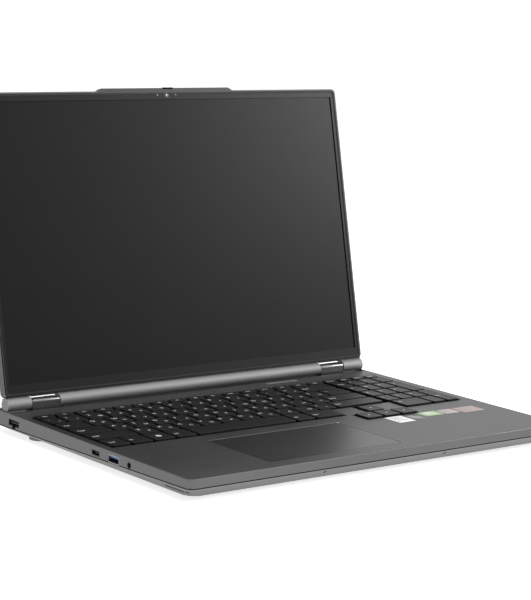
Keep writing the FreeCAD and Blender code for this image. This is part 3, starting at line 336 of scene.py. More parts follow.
def ramp(tree, factor, low, high):
    """Two-colour ramp driven by a factor."""
    made = tree.nodes.new("ShaderNodeValToRGB")
    first, second = made.color_ramp.elements
    first.position = NOISE_LOW
    first.color = (*low, 1.0)
    second.position = NOISE_HIGH
    second.color = (*high, 1.0)
    tree.links.new(factor, made.inputs["Fac"])
    return made.outputs["Color"]


def spread(tree, factor, low, high):
    """Factor spread over a range of values."""
    made = node(tree, "ShaderNodeMapRange", From_Min=NOISE_LOW, From_Max=NOISE_HIGH, To_Min=low, To_Max=high)
    tree.links.new(factor, made.inputs["Value"])
    return made.outputs["Result"]


def scaled(tree, value, factor):
    """Value times a constant."""
    made = tree.nodes.new("ShaderNodeMath")
    made.operation = "MULTIPLY"
    made.inputs[1].default_value = factor
    tree.links.new(value, made.inputs[0])
    return made.outputs[0]


def combined(tree, operation, first, second):
    """Two values joined by a maths operation."""
    made = tree.nodes.new("ShaderNodeMath")
    made.operation = operation
    tree.links.new(first, made.inputs[0])
    tree.links.new(second, made.inputs[1])
    return made.outputs[0]


def surface(name, dark, light, roughness, metallic=0.0, grain=2500.0, cloud=18.0, bump=0.02, stretch=None,
            specular=0.5):
    """Add a procedural finish: cloudy colour, uneven gloss and a fine grain in the surface."""
    made = bpy.data.materials.new(name)
    made.use_nodes = True
    tree = made.node_tree
    shader = tree.nodes["Principled BSDF"]
    shader.inputs["Metallic"].default_value = metallic
    shader.inputs["Specular IOR Level"].default_value = specular
    clouds = noise(tree, cloud, CLOUD_DETAIL)
    grains = noise(tree, grain, GRAIN_DETAIL, stretch)
    mixed = combined(tree, "ADD", scaled(tree, clouds, CLOUD_SHARE), scaled(tree, grains, GRAIN_SHARE))
    tree.links.new(ramp(tree, mixed, dark, light), shader.inputs["Base Color"])
    tree.links.new(spread(tree, mixed, *roughness), shader.inputs["Roughness"])
    bumps = node(tree, "ShaderNodeBump", Strength=bump, Distance=GRAIN_DEPTH)
    tree.links.new(grains, bumps.inputs["Height"])
    tree.links.new(bumps.outputs["Normal"], shader.inputs["Normal"])
    materials[name] = made


def grey(value):
    """Nearly neutral colour of one brightness, a touch blue."""
    return (value, value, value * GREY_BLUE)


# Finishes

def make_case_metals():
    """Metal looks of the case, the lid, the hinges, the power button and the touch plate."""
    surface("deck_metal", grey(0.104), grey(0.122), (0.40, 0.46), 1.0, bump=0.10)
    surface("cover_metal", grey(0.150), grey(0.175), (0.38, 0.44), 1.0, bump=0.05)
    surface("hinge_metal", grey(0.085), grey(0.10), (0.36, 0.42), 1.0, bump=0.06)
    surface("lid_metal", grey(0.120), grey(0.138), (0.66, 0.72), 1.0, bump=0.08)
    surface("barrel_metal", grey(0.210), grey(0.230), (0.63, 0.67), 1.0, bump=0.02)
    surface("button_metal", grey(0.48), grey(0.54), (0.34, 0.40), 1.0, bump=0.03)
    # Lighter copy of the case metal for edges: painted highlight
    surface("edge_highlight_metal", grey(0.20), grey(0.23), (0.30, 0.36), 1.0, bump=0.02)
    surface("touch_glass", grey(0.090), grey(0.102), (0.33, 0.37), 1.0, bump=0.02)


def make_screen_finishes():
    """Screen, bezel and camera."""
    surface("screen", grey(0.0014), grey(0.0018), (0.32, 0.34), specular=0.14, bump=0.02)
    surface("bezel", grey(0.0030), grey(0.0040), (0.34, 0.38), specular=0.17, bump=0.03)
    surface("strip_face", grey(0.026), grey(0.034), (0.40, 0.46), specular=0.3, bump=0.03)
    surface("lens", grey(0.004), grey(0.008), (0.05, 0.09), bump=0.0)
    surface("lens_ring", grey(0.10), grey(0.14), (0.25, 0.32), 0.6)


def make_key_finishes():
    """Tops of the keys, their sides in a darker copy of the key plastic as painted shade, and their print.
    """
    surface("key_plastic", grey(0.0050), grey(0.0065), (0.40, 0.46), grain=3200.0, bump=0.08, specular=0.24)
    # Painted shade: darker, duller copy of the key plastic for the cap sides
    surface("key_side_shade", grey(0.0025), grey(0.0035), (0.55, 0.62), specular=0.06, bump=0.05)
    surface("legend", grey(0.46), grey(0.54), (0.5, 0.6), bump=0.0)


def make_rubber_finishes():
    """Rubber, and black for dark parts and for painted shade in gaps, grooves and openings."""
    surface("rubber", grey(0.012), grey(0.018), (0.75, 0.85), grain=1500.0, bump=0.25)
    surface("foot_rubber", grey(0.46), grey(0.54), (0.62, 0.72), grain=1500.0, bump=0.2)
    surface("plate_black_and_shade", grey(0.004), grey(0.006), (0.55, 0.65), bump=0.05)
    surface("grille_black_and_gap_shade", grey(0.002), grey(0.003), (0.8, 0.9), specular=0.0)


def make_inner_finishes():
    """Sockets, boards, cooling, battery and fasteners."""
    surface("steel", grey(0.10), grey(0.14), (0.30, 0.40), 1.0, stretch=(0.1, 1.0, 1.0))
    surface("dark_steel", grey(0.03), grey(0.05), (0.35, 0.45), 1.0)
    surface("screw_steel", grey(0.05), grey(0.08), (0.35, 0.45), 1.0)
    surface("socket_metal", grey(0.30), grey(0.38), (0.25, 0.35), 1.0)
    surface("socket_plastic", grey(0.006), grey(0.010), (0.5, 0.6))
    surface("blue_plastic", (0.02, 0.12, 0.34), (0.03, 0.16, 0.42), (0.4, 0.5))
    surface("gold", (0.75, 0.50, 0.18), (0.85, 0.60, 0.25), (0.22, 0.30), 1.0)
    surface("circuit_board", (0.006, 0.045, 0.022), (0.012, 0.08, 0.04), (0.4, 0.5), grain=900.0, bump=0.2)
    surface("chip", grey(0.02), grey(0.03), (0.45, 0.55))
    surface("copper", (0.50, 0.22, 0.12), (0.62, 0.30, 0.17), (0.30, 0.42), 1.0)
    surface("fan_plastic", grey(0.012), grey(0.018), (0.45, 0.55), bump=0.08)
    surface("battery_wrap", grey(0.02), grey(0.03), (0.35, 0.45), grain=500.0, bump=0.1)


def make_label_finishes():
    """Blank labels and the ink of their bars."""
    surface("label_white", grey(0.74), grey(0.80), (0.45, 0.52), cloud=60.0)
    surface("label_dark", grey(0.06), grey(0.075), (0.22, 0.30), cloud=60.0)
    surface("label_green", (0.20, 0.34, 0.13), (0.27, 0.42, 0.18), (0.30, 0.38), cloud=90.0)
    surface("label_pale", (0.36, 0.31, 0.32), (0.44, 0.39, 0.40), (0.35, 0.42), cloud=90.0)
    surface("label_rose", (0.28, 0.185, 0.175), (0.37, 0.26, 0.245), (0.35, 0.42), cloud=90.0)
    surface("label_ink", grey(0.28), grey(0.34), (0.5, 0.6), bump=0.0)


def paint_frame():
    """Finish every CAD node by its slot in the record."""
    special = {
        "keyboard_plate": "plate_black_and_shade",
        "hinge_cover_left": "hinge_metal",
        "hinge_cover_right": "hinge_metal",
        "rear_foot": "foot_rubber",
        "usb_c_socket": "dark_steel",
        "video_socket": "dark_steel",
    }
    for entry in record["subparts"]:
        name = entry["node"]
        finish = materials[special.get(name, entry["material_slot"])]
        painted = frame["nodes"][name]
        if not painted.material_slots:
            painted.data.materials.append(finish)
        for slot in painted.material_slots:
            slot.material = finish


# Mesh helpers

def finish_mesh(name, bm, smooth_angle=SMOOTH_ANGLE):
    """Turn a bmesh into mesh data with soft faces and sharp edges."""
    bmesh.ops.recalc_face_normals(bm, faces=bm.faces)
    for face in bm.faces:
        face.smooth = True
    limit = math.radians(smooth_angle)
    for edge in bm.edges:
        if len(edge.link_faces) == 2 and edge.calc_face_angle() > limit:
            edge.smooth = False
    mesh = bpy.data.meshes.new(name)
    bm.to_mesh(mesh)
    bm.free()
    return mesh


def add_mesh(name, mesh, body, material_name, replaced=()):
    """Link finished mesh data as a piece of the object and let it ride on a body."""
    piece = bpy.data.objects.new(name, mesh)
    bpy.context.scene.collection.objects.link(piece)
    mesh.materials.append(materials[material_name])
    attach(piece, body)
    if replaced:
        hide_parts(*replaced)


def add_piece(name, bm, body, material_name, replaced=()):
    """Finish a bmesh and add it as a piece of the object."""
    add_mesh(name, finish_mesh(name, bm), body, material_name, replaced)


def round_ring(low, high, inset, radius, steps):
    """Plan points of a rectangle with round corners, set in from two corner points, anticlockwise."""
    x0, y0 = low[0] + inset, low[1] + inset
    x1, y1 = high[0] - inset, high[1] - inset
    centres = (
        (x1 - radius, y0 + radius, -90.0), (x1 - radius, y1 - radius, 0.0),
        (x0 + radius, y1 - radius, 90.0), (x0 + radius, y0 + radius, 180.0),
    )
    points = []
    for cx, cy, start in centres:
        for step in range(steps + 1):
            angle = math.radians(start + 90.0 * step / steps)
            points.append((cx + radius * math.cos(angle), cy + radius * math.sin(angle)))
    return points


def level_ring(low, high, inset, radius, steps, z):
    """Rectangle with round corners at one height."""
    return [(x, y, z) for x, y in round_ring(low, high, inset, radius, steps)]


def circle(x, y, radius, sides, start=0.0):
    """Points of a regular polygon round a middle, from a start angle in degrees."""
    points = []
    for step in range(sides):
        angle = math.radians(start + 360.0 * step / sides)
        points.append((x + radius * math.cos(angle), y + radius * math.sin(angle)))
    return points


def add_face(bm, points):
    """One flat face through points."""
    bm.faces.new([bm.verts.new(point) for point in points])


def bridge(bm, lower, upper):
    """Band of faces between two rings of the same length."""
    count = len(lower)
    for number in range(count):
        after = (number + 1) % count
        bm.faces.new((lower[number], lower[after], upper[after], upper[number]))


def ring_band(bm, rings):
    """Open band through rings of points, each a list of (x, y, z)."""
    made = [[bm.verts.new(point) for point in ring] for ring in rings]
    for lower, upper in zip(made, made[1:]):
        bridge(bm, lower, upper)
    return made


def ring_stack(bm, rings):
    """Closed form through rings of points."""
    made = ring_band(bm, rings)
    bm.faces.new(list(reversed(made[0])))
    bm.faces.new(made[-1])


def quarter_round(inset, z, radius):
    """Inset and height of the points of a quarter round that starts at an inset and a height."""
    points = []
    for step in range(1, ROUND_STEPS + 1):
        angle = math.radians(90.0 * step / ROUND_STEPS)
        points.append((inset + radius * (1 - math.cos(angle)), z + radius * math.sin(angle)))
    return points


def bevelled_slab(bm, low, high, radius, bevel, steps=CORNER_STEPS):
    """Plate between two corner points, with round corners in plan and a rounded upper edge."""
    shoulder = high[2] - bevel
    rings = []
    for inset, z in [(0.0, low[2]), (0.0, shoulder)] + quarter_round(0.0, shoulder, bevel):
        rings.append(level_ring(low, high, inset, max(radius - inset, LEAST_CORNER), steps, z))
    ring_stack(bm, rings)


def add_block(bm, low, high):
    """Plain box between two corner points."""
    low = Vector(low)
    size = Vector(high) - low
    for vertex in bmesh.ops.create_cube(bm, size=1.0)["verts"]:
        vertex.co = Vector(low[i] + (vertex.co[i] + 0.5) * size[i] for i in range(3))


# Keys

def linked_points(start, seen):
    """Points of all vertices that edges link to a start, which are added to those seen."""
    points = []
    waiting = [start]
    seen.add(start)
    while waiting:
        vertex = waiting.pop()
        points.append(vertex.co)
        for edge in vertex.link_edges:
            other = edge.other_vert(vertex)
            if other not in seen:
                seen.add(other)
                waiting.append(other)
    return points


def key_boxes(group):
    """Plan box and top height of every key of a group, read from its CAD solids."""
    bm = bmesh.new()
    bm.from_mesh(frame["nodes"][group].data)
    bmesh.ops.remove_doubles(bm, verts=bm.verts, dist=WELD_DISTANCE)
    seen = set()
    boxes = []
    for start in bm.verts:
        if start not in seen:
            xs, ys, zs = zip(*linked_points(start, seen))
            boxes.append((min(xs), max(xs), min(ys), max(ys), max(zs)))
    bm.free()
    return boxes


def rear_edge(box):
    """Rear edge of a key."""
    return box[3]


def reading_order(boxes):
    """Keys by rows from the rear, each row from left to right."""
    rows = []
    for box in sorted(boxes, key=rear_edge, reverse=True):
        for row in rows:
            if abs(rear_edge(row[0]) - rear_edge(box)) < ROW_TOLERANCE:
                row.append(box)
                break
        else:
            rows.append([box])
    return [box for row in rows for box in sorted(row)]


def cap_rings(box):
    """Rings of one key cap: skirt, rounded shoulder and a shallow dish."""
    x0, x1, y0, y1, top = box
    foot = top - CAP_HEIGHT
    shoulder = top - CAP_BEVEL
    half = min(x1 - x0, y1 - y0) / 2
    levels = [(0.0, foot), (CAP_FOOT_INSET, foot + CAP_FOOT_HEIGHT), (CAP_TAPER, shoulder)]
    levels += quarter_round(CAP_TAPER, shoulder, CAP_BEVEL)
    rim = levels[-1][0]
    for share in DISH_SHARES:
        depth = DISH_DEPTH * math.sin(share * math.pi / 2)
        levels.append((rim + (half - rim) * share, top - depth))
    rings = []
    for inset, z in levels:
        radius = max(CAP_CORNER - inset * CAP_CORNER_SHRINK, CAP_LEAST_CORNER)
        radius = min(radius, (half - inset) * CAP_MOST_CORNER)
        rings.append(level_ring((x0, y0), (x1, y1), inset, radius, CAP_CORNER_STEPS, z))
    return rings


def add_stem(bm, box, bottom):
    """Guide stem under a cap, down to where the CAD solid ends."""
    x0, x1, y0, y1, top = box
    x = (x0 + x1) / 2
    y = (y0 + y1) / 2
    add_block(bm, (x - STEM_HALF, y - STEM_HALF, bottom), (x + STEM_HALF, y + STEM_HALF, top - CAP_HEIGHT))


def make_caps(group, boxes):
    """Caps of a group; the skirt and sides get a darker copy of the key plastic as painted shade."""
    bm = bmesh.new()
    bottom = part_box(group)[0][2]
    for box in boxes:
        ring_stack(bm, cap_rings(box))
        add_stem(bm, box, bottom)
    name = "caps_" + group
    mesh = finish_mesh(name, bm, CAP_SMOOTH_ANGLE)
    add_mesh(name, mesh, group, "key_plastic", (group,))
    # Sloping faces get the darker copy: painted shade on the cap sides
    mesh.materials.append(materials["key_side_shade"])
    for face in mesh.polygons:
        face.material_index = 0 if face.normal.z > CAP_TOP_SLOPE else 1


# Legends

text_curve = bpy.data.curves.new("legend_text", "FONT")
text_curve.resolution_u = LEGEND_RESOLUTION
text_curve.offset = LEGEND_WEIGHT
text_object = bpy.data.objects.new("legend_text", text_curve)


def text_mesh(words, size):
    """Flat mesh of some words."""
    text_curve.body = words
    text_curve.size = size
    bpy.context.scene.collection.objects.link(text_object)
    bpy.context.view_layer.update()
    shown = text_object.evaluated_get(bpy.context.evaluated_depsgraph_get())
    mesh = bpy.data.meshes.new_from_object(shown)
    bpy.context.scene.collection.objects.unlink(text_object)
    return mesh


def add_words(bm, words, size, place, centred=False):
    """Words lying flat on a key, at a place given for their lower left corner or their middle."""
    mesh = text_mesh(words, size)
    if mesh.vertices:
        xs = [vertex.co.x for vertex in mesh.vertices]
        ys = [vertex.co.y for vertex in mesh.vertices]
        shift = Vector((-min(xs), -min(ys), 0))
        if centred:
            shift = Vector((-(min(xs) + max(xs)) / 2, -(min(ys) + max(ys)) / 2, 0))
        mesh.transform(Matrix.Translation(Vector(place) + shift))
        bm.from_mesh(mesh)
    bpy.data.meshes.remove(mesh)


def add_mark(bm, place, radius, sides, start=0.0):
    """Flat polygon lying on a key."""
    x, y, z = place
    add_face(bm, [(px, py, z) for px, py in circle(x, y, radius, sides, start)])


def add_letters(bm, box, letter, second, z):
    """One letter near the rear left of a key, and a second one further right and forward."""
    x0, x1, y0, y1, _ = box
    width = min(x1 - x0, LETTER_KEY_WIDTH)
    depth = min(y1 - y0, LETTER_KEY_DEPTH)
    rear = y1 - LETTER_FROM_REAR * depth - LETTER_DROP
    add_words(bm, letter, LETTER_SIZE, (x0 + LETTER_SIDE * width, rear, z))
    if second.strip():
        front = y1 - SECOND_FROM_REAR * depth - SECOND_DROP
        add_words(bm, second, SECOND_SIZE, (x0 + SECOND_SIDE * width, front, z))


def add_legend(bm, box, words, second):
    """Print on one key."""
    x0, x1, y0, y1, top = box
    z = top - LEGEND_DEPTH
    middle = ((x0 + x1) / 2, (y0 + y1) / 2, top - MIDDLE_DEPTH)
    if words in ARROW_TURNS:
        add_mark(bm, middle, ARROW_REACH, ARROW_SIDES, ARROW_TURNS[words])
    elif words == "dot":
        add_mark(bm, middle, DOT_RADIUS, DOT_SIDES)
    elif y1 - y0 < SHORT_KEY_DEPTH:
        add_words(bm, words, SHORT_WORD_SIZE, middle, True)
    elif len(words) > 1:
        add_words(bm, words, WORD_SIZE, (x0 + WORD_SIDE, y0 + WORD_FROM_FRONT * (y1 - y0), z))
    else:
        add_letters(bm, box, words, second, z)


def make_legends(group, boxes):
    """Print on the keys of a group, if it has any."""
    words = LEGENDS.get(group, [])
    seconds = SECOND_LEGENDS.get(group, [""] * len(words))
    bm = bmesh.new()
    for box, first, second in zip(boxes, words, seconds):
        add_legend(bm, box, first, second)
    if bm.faces:
        for face in bm.faces:
            if face.normal.z < 0:
                face.normal_flip()
        name = "legends_" + group
        mesh = bpy.data.meshes.new(name)
        bm.to_mesh(mesh)
        add_mesh(name, mesh, group, "legend")
    bm.free()


def make_keys():
    """Caps and legends of every key group."""
    for entry in record["subparts"]:
        if entry["material_slot"] == "key_plastic":
            group = entry["node"]
            boxes = reading_order(key_boxes(group))
            make_caps(group, boxes)
            make_legends(group, boxes)


# Deck details

def make_labels():
    """Blank labels beside the touchpad, each with plain printed bars."""
    lift = Vector((0, 0, LABEL_THICKNESS))
    for name, ink, x0, x1, y0, y1 in LABELS:
        low = deck_point(x0, y0)
        high = deck_point(x1, y1)
        label = "deck_label_" + name
        bm = bmesh.new()
        bevelled_slab(bm, low, high + lift, LABEL_CORNER, LABEL_BEVEL)
        add_piece(label, bm, "base", "label_" + name)
        width = high.x - low.x
        z = DECK_Z + LABEL_THICKNESS
        bars = bmesh.new()
        for place, margin in BARS:
            y = low.y + place * (high.y - low.y)
            start = (low.x + BAR_MARGIN * width, y, z)
            end = (high.x - margin * width, y + BAR_WIDTH, z + BAR_THICKNESS)
            bevelled_slab(bars, start, end, BAR_CORNER, BAR_BEVEL, BAR_CORNER_STEPS)
        add_piece(label + "_print", bars, "base", ink)


def touchpad_ring(profile, base_z):
    """Frame that follows the edge of the touch plate."""
    low, high = node_box("touchpad")
    low.x += TOUCHPAD_PIN
    high.x -= TOUCHPAD_PIN
    rings = []
    for out, rise in profile:
        out *= MM
        z = base_z + rise * MM
        rings.append(level_ring(low, high, -out, TOUCHPAD_CORNER + out, FINE_CORNER_STEPS, z))
    bm = bmesh.new()
    ring_band(bm, rings)
    return bm


def make_touchpad_edge():
    """Bevel round the touchpad opening in a lighter metal, a painted highlight, and a black ring over the
    touch plate's edge, painted shade of the gap round it.
    """
    add_piece("touchpad_edge", touchpad_ring(TOUCHPAD_BEVEL, DECK_Z), "base", "edge_highlight_metal")
    plate_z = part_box("touchpad")[1][2]
    # Painted shade: black ring over the gap round the touch plate
    add_piece("touchpad_gap_shade", touchpad_ring(TOUCHPAD_GAP_SHADE, plate_z), "touchpad", "grille_black_and_gap_shade")


def make_hinge_trough_shade():
    """Black sheet on the floor of the hinge trough between the hinge covers, painted shade under the barrel.
    """
    low, high = node_box("hinge_cover_right")
    inner = low.x - TROUGH_SHADE_SIDE_GAP
    bm = bmesh.new()
    bevelled_slab(bm, (-inner, low.y - TROUGH_SHADE_FRONT, low.z),
                  (inner, high.y + TROUGH_SHADE_REAR, low.z + TROUGH_SHADE_THICKNESS), TROUGH_SHADE_CORNER, TROUGH_SHADE_BEVEL)
    # Painted shade: black sheet in the trough
    add_piece("hinge_trough_shade", bm, "base", "plate_black_and_shade")


def make_hinge_crests():
    """Rounded rim on the upper edge of each hinge cover, in a lighter metal as a painted highlight."""
    for side in ("left", "right"):
        low, high = node_box("hinge_cover_" + side)
        rings = []
        for inset, rise in CREST_PROFILE:
            z = high.z + rise * MM
            rings.append(level_ring(low, high, inset * MM, CREST_CORNER, CREST_CORNER_STEPS, z))
        bm = bmesh.new()
        ring_band(bm, rings)
        add_piece("hinge_crest_" + side, bm, "base", "edge_highlight_metal")


def make_power_button():
    """Power button with rounded edges over its guide stem."""
    low, high = node_box("power_button")
    foot = high.z - BUTTON_CAP
    corner = (high.y - low.y) / 2 - BUTTON_END_FLAT
    bm = bmesh.new()
    bevelled_slab(bm, (low.x, low.y, foot), high, corner, BUTTON_BEVEL, FINE_CORNER_STEPS)
    x = (low.x + high.x) / 2
    y = (low.y + high.y) / 2
    half = BUTTON_STEM_HALF
    add_block(bm, (x - half, y - half, low.z), (x + half, y + half, foot))
    add_piece("power_button_cap", bm, "power_button", "button_metal", ("power_button",))


# Joint of the base, and the speaker openings below it

def parting_z(y):
    """Height of the joint between the two halves of the base."""
    share = (y - DECK_FRONT) / (deck_high.y - deck_low.y)
    return DECK_Z - PARTING_FRONT - share * (PARTING_REAR - PARTING_FRONT)


def make_parting_groove_shade():
    """Black band in the groove round the base, painted shade of the groove."""
    rings = []
    for inset, lift in PARTING_PROFILE:
        inset *= MM
        plan = round_ring(deck_low, deck_high, inset, PARTING_CORNER - inset, PARTING_CORNER_STEPS)
        rings.append([(x, y, parting_z(y) + lift * MM) for x, y in plan])
    bm = bmesh.new()
    ring_band(bm, rings)
    # Painted shade: black band in the groove
    add_piece("parting_groove_shade", bm, "base", "grille_black_and_gap_shade")


def wall_x(side, y, z):
    """Distance of the slanted side wall's outer face from the middle, at one place."""
    from_outside = Vector((side * WALL_CAST_FROM, y, z))
    _, place, _, _ = frame["nodes"]["bottom_cover"].ray_cast(from_outside, Vector((-side, 0, 0)))
    return abs(place.x)


def make_speaker_grilles():
    """Black pads over the speaker openings in both slanted sides: partly the speaker mesh, partly painted
    shade of the openings.
    """
    z0 = DECK_Z - SPEAKER_DROP - SPEAKER_HALF_HEIGHT
    z1 = DECK_Z - SPEAKER_DROP + SPEAKER_HALF_HEIGHT
    for side, name in ((-1, "left"), (1, "right")):
        bm = bmesh.new()
        for number in range(SPEAKER_COUNT):
            y0 = DECK_FRONT + SPEAKER_FIRST + number * SPEAKER_PITCH
            y1 = y0 + SPEAKER_LENGTH
            corners = []
            for y, beside, z in ((y0, -1, z1), (y1, 1, z1), (y1, 1, z0), (y0, -1, z0)):
                corners.append((wall_x(side, y + beside * SPEAKER_MARGIN, z), y, z))
            rings = []
            for out in (-SPEAKER_PAD_ROOT, SPEAKER_PAD_RISE):
                rings.append([(side * (x + out), y, z) for x, y, z in corners])
            ring_stack(bm, rings)
        # Black pads: speaker mesh and painted shade of the openings
        add_piece("speaker_grille_" + name, bm, "base", "grille_black_and_gap_shade")


# Sockets

def make_usb_tongues():
    """Blue contact tongues with gilt contacts in the wide sockets."""
    for side, name in ((-1, "usb_a_socket_left"), (1, "usb_a_socket_right")):
        low, high = node_box(name)
        mouth = low.x if side < 0 else high.x
        y = (low.y + high.y) / 2
        half = (high.y - low.y) / 2 - TONGUE_SIDE_GAP
        top = high.z - TONGUE_FROM_TOP
        bottom = top - TONGUE_THICKNESS
        x0, x1 = sorted((mouth - side * TONGUE_FRONT, mouth - side * TONGUE_BACK))
        bm = bmesh.new()
        add_block(bm, (x0, y - half, bottom), (x1, y + half, top))
        bmesh.ops.bevel(bm, geom=bm.edges[:], offset=TONGUE_BEVEL, segments=TONGUE_BEVEL_STEPS,
                        affect="EDGES")
        add_piece("tongue_" + name, bm, "base", "blue_plastic")
        x0, x1 = sorted((mouth - side * CONTACT_FRONT, mouth - side * CONTACT_BACK))
        contacts = bmesh.new()
        for place in CONTACT_PLACES:
            middle = y + place * MM
            add_block(contacts, (x0, middle - CONTACT_HALF, bottom - CONTACT_BELOW),
                      (x1, middle + CONTACT_HALF, bottom + CONTACT_ABOVE))
        add_piece("contacts_" + name, contacts, "base", "gold")


# Lid details, placed by their height along the screen and their lift out of the camera's face

lean = math.radians(LID_LEAN)
lid_up = Vector((0, math.sin(lean), math.cos(lean)))
lid_out = Vector((0, -math.cos(lean), math.sin(lean)))
camera_points = [vertex.co for vertex in frame["nodes"]["camera_module"].data.vertices]
camera_face = max(point.dot(lid_out) for point in camera_points)
face_points = [point for point in camera_points if point.dot(lid_out) > camera_face - FACE_TOLERANCE]
face_heights = [point.dot(lid_up) for point in face_points]
camera_height = (min(face_heights) + max(face_heights)) / 2
lid_heights = [vertex.co.dot(lid_up) for vertex in frame["nodes"]["lid_cover"].data.vertices]
lid_foot = min(lid_heights)
lid_top = max(lid_heights)


def lid_ring(outline, lift):
    """Outline of (x, height) points on the lid, at a lift out of the camera's face."""
    forward = lid_out * (camera_face + lift)
    return [tuple(Vector((x, 0, 0)) + lid_up * height + forward) for x, height in outline]


def rectangle(x0, x1, low, high):
    """Outline of a rectangle on the lid."""
    return [(x0, low), (x1, low), (x1, high), (x0, high)]


def make_camera_marks():
    """Lens ring, painted highlights as glints on the lens and status lights, and microphone dots above the
    screen.
    """
    bm = bmesh.new()
    rings = []
    for radius, lift in LENS_RING:
        rings.append(lid_ring(circle(0.0, camera_height, radius, LENS_RING_SIDES), lift))
    ring_band(bm, rings)
    add_piece("camera_ring", bm, "lid", "lens_ring")
    glints = bmesh.new()
    for x, radius in GLINTS:
        spot = lid_ring(circle(x, camera_height, radius, GLINT_SIDES), MARK_LIFT)
        add_face(glints, spot)
    # White discs in the labels' white: painted highlights
    add_piece("camera_glints", glints, "lid", "label_white")
    dots = bmesh.new()
    for x in MICROPHONES:
        spot = lid_ring(circle(x, camera_height, MICROPHONE_RADIUS, MICROPHONE_SIDES), MARK_LIFT)
        add_face(dots, spot)
    add_piece("microphone_dots", dots, "lid", "plate_black_and_shade")


def make_bezel_trim():
    """Trim along the bezel's lower edge, with a lip over each hinge."""
    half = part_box("lid_cover")[1][0] - TRIM_SIDE_INSET
    bm = bmesh.new()
    rings = []
    for lift, inset in TRIM_LAYERS:
        outline = rectangle(-half, half, lid_foot + TRIM_LOW + inset, lid_foot + TRIM_HIGH)
        rings.append(lid_ring(outline, lift))
    ring_stack(bm, rings)
    for name in ("hinge_cover_left", "hinge_cover_right"):
        low, high = node_box(name)
        outline = rectangle(low.x, high.x, lid_foot + LIP_LOW, lid_foot + LIP_HIGH)
        ring_stack(bm, [lid_ring(outline, lift) for lift in LIP_LIFTS])
    add_piece("bezel_lower_edge", bm, "lid", "bezel")


def make_camera_strip():
    """Dark face of the raised strip over the camera, and the shutter on its upper edge."""
    outline = [
        (-STRIP_HALF, lid_top - STRIP_LOW), (STRIP_HALF, lid_top - STRIP_LOW),
        (STRIP_HALF, lid_top - STRIP_SHOULDER), (STRIP_TOP_HALF, lid_top - STRIP_HIGH),
        (-STRIP_TOP_HALF, lid_top - STRIP_HIGH), (-STRIP_HALF, lid_top - STRIP_SHOULDER),
    ]
    bm = bmesh.new()
    ring_stack(bm, [lid_ring(outline, lift) for lift in (0.0, STRIP_LIFT)])
    add_piece("camera_strip_face", bm, "lid", "strip_face")
    x0, x1 = SHUTTER_SPAN
    rings = []
    for lift, inset in SHUTTER_LAYERS:
        shape = rectangle(x0 + inset, x1 - inset, lid_top + SHUTTER_LOW + inset,
                          lid_top + SHUTTER_HIGH - inset)
        rings.append(lid_ring(shape, lift))
    shutter = bmesh.new()
    ring_stack(shutter, rings)
    add_piece("camera_shutter", shutter, "lid", "grille_black_and_gap_shade")


# Stage, light and camera

def seen_directly(tree):
    """One for rays from the camera or by way of gloss or glass, and zero for others."""
    path = tree.nodes.new("ShaderNodeLightPath")
    either = combined(tree, "MAXIMUM", path.outputs["Is Camera Ray"], path.outputs["Is Glossy Ray"])
    return combined(tree, "MAXIMUM", either, path.outputs["Is Transmission Ray"])


def make_floor():
    """Pale floor that keeps the shadow and is white where it is seen."""
    bm = bmesh.new()
    add_block(bm, (-FLOOR_REACH, -FLOOR_REACH, -FLOOR_THICKNESS), (FLOOR_REACH, FLOOR_REACH, 0.0))
    floor = bpy.data.objects.new("floor", finish_mesh("floor", bm))
    bpy.context.scene.collection.objects.link(floor)
    made = bpy.data.materials.new("floor")
    made.use_nodes = True
    tree = made.node_tree
    shader = tree.nodes["Principled BSDF"]
    shader.inputs["Base Color"].default_value = FLOOR_COLOUR
    shader.inputs["Roughness"].default_value = FLOOR_ROUGHNESS
    shader.inputs["Specular IOR Level"].default_value = 0.0
    shader.inputs["Emission Color"].default_value = WHITE
    tree.links.new(scaled(tree, seen_directly(tree), FLOOR_GLOW), shader.inputs["Emission Strength"])
    floor.data.materials.append(made)


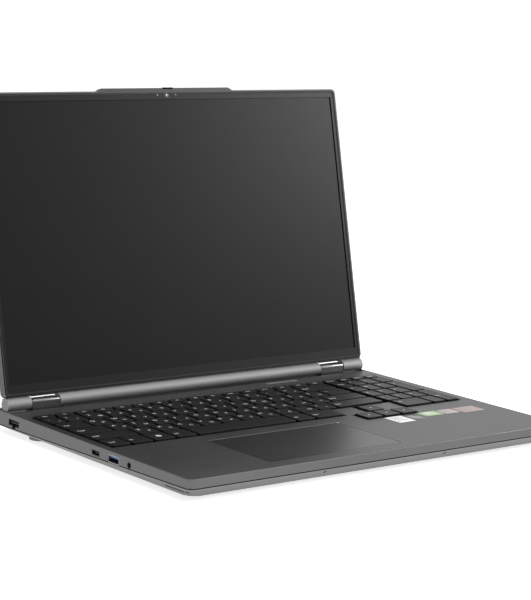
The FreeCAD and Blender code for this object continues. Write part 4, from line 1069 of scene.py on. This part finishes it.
def make_surround():
    """Soft white surround that is white where it is seen."""
    world = bpy.data.worlds.new("studio")
    bpy.context.scene.world = world
    world.use_nodes = True
    tree = world.node_tree
    background = tree.nodes["Background"]
    background.inputs["Color"].default_value = WHITE
    strength = node(tree, "ShaderNodeMapRange", To_Min=SURROUND_LIGHT, To_Max=1.0)
    tree.links.new(seen_directly(tree), strength.inputs["Value"])
    tree.links.new(strength.outputs["Result"], background.inputs["Strength"])


def make_lamps():
    """Square soft lamps, each turned to its target."""
    for name, place, target, size, power in LAMPS:
        light = bpy.data.lights.new(name, "AREA")
        light.size = size
        light.energy = power
        lamp = bpy.data.objects.new(name, light)
        bpy.context.scene.collection.objects.link(lamp)
        lamp.location = place
        lamp.rotation_euler = (Vector(target) - Vector(place)).to_track_quat("-Z", "Y").to_euler()


def make_camera():
    """Camera at the photograph's place."""
    data = bpy.data.cameras.new("camera")
    data.lens = CAMERA_LENS
    data.sensor_width = CAMERA_SENSOR
    data.clip_end = CAMERA_CLIP
    camera = bpy.data.objects.new("camera", data)
    bpy.context.scene.collection.objects.link(camera)
    level = math.cos(CAMERA_ELEVATION)
    back = Vector((math.sin(CAMERA_AZIMUTH) * level, -math.cos(CAMERA_AZIMUTH) * level,
                   math.sin(CAMERA_ELEVATION)))
    right = (-back).cross(Vector((0, 0, 1))).normalized()
    up = right.cross(-back)
    across = right * math.cos(CAMERA_ROLL) + up * math.sin(CAMERA_ROLL)
    upright = up * math.cos(CAMERA_ROLL) - right * math.sin(CAMERA_ROLL)
    turn = Matrix((across, upright, back)).transposed().to_4x4()
    camera.matrix_world = Matrix.Translation(deck_point(0, 0) + CAMERA_FROM_DECK_EDGE) @ turn
    bpy.context.scene.camera = camera


make_case_metals()
make_screen_finishes()
make_key_finishes()
make_rubber_finishes()
make_inner_finishes()
make_label_finishes()
paint_frame()
make_keys()
make_labels()
make_touchpad_edge()
make_hinge_trough_shade()
make_hinge_crests()
make_power_button()
make_parting_groove_shade()
make_speaker_grilles()
make_usb_tongues()
make_camera_marks()
make_bezel_trim()
make_camera_strip()
make_floor()
make_surround()
make_lamps()
make_camera()
bpy.context.scene.view_settings.view_transform = "Standard"
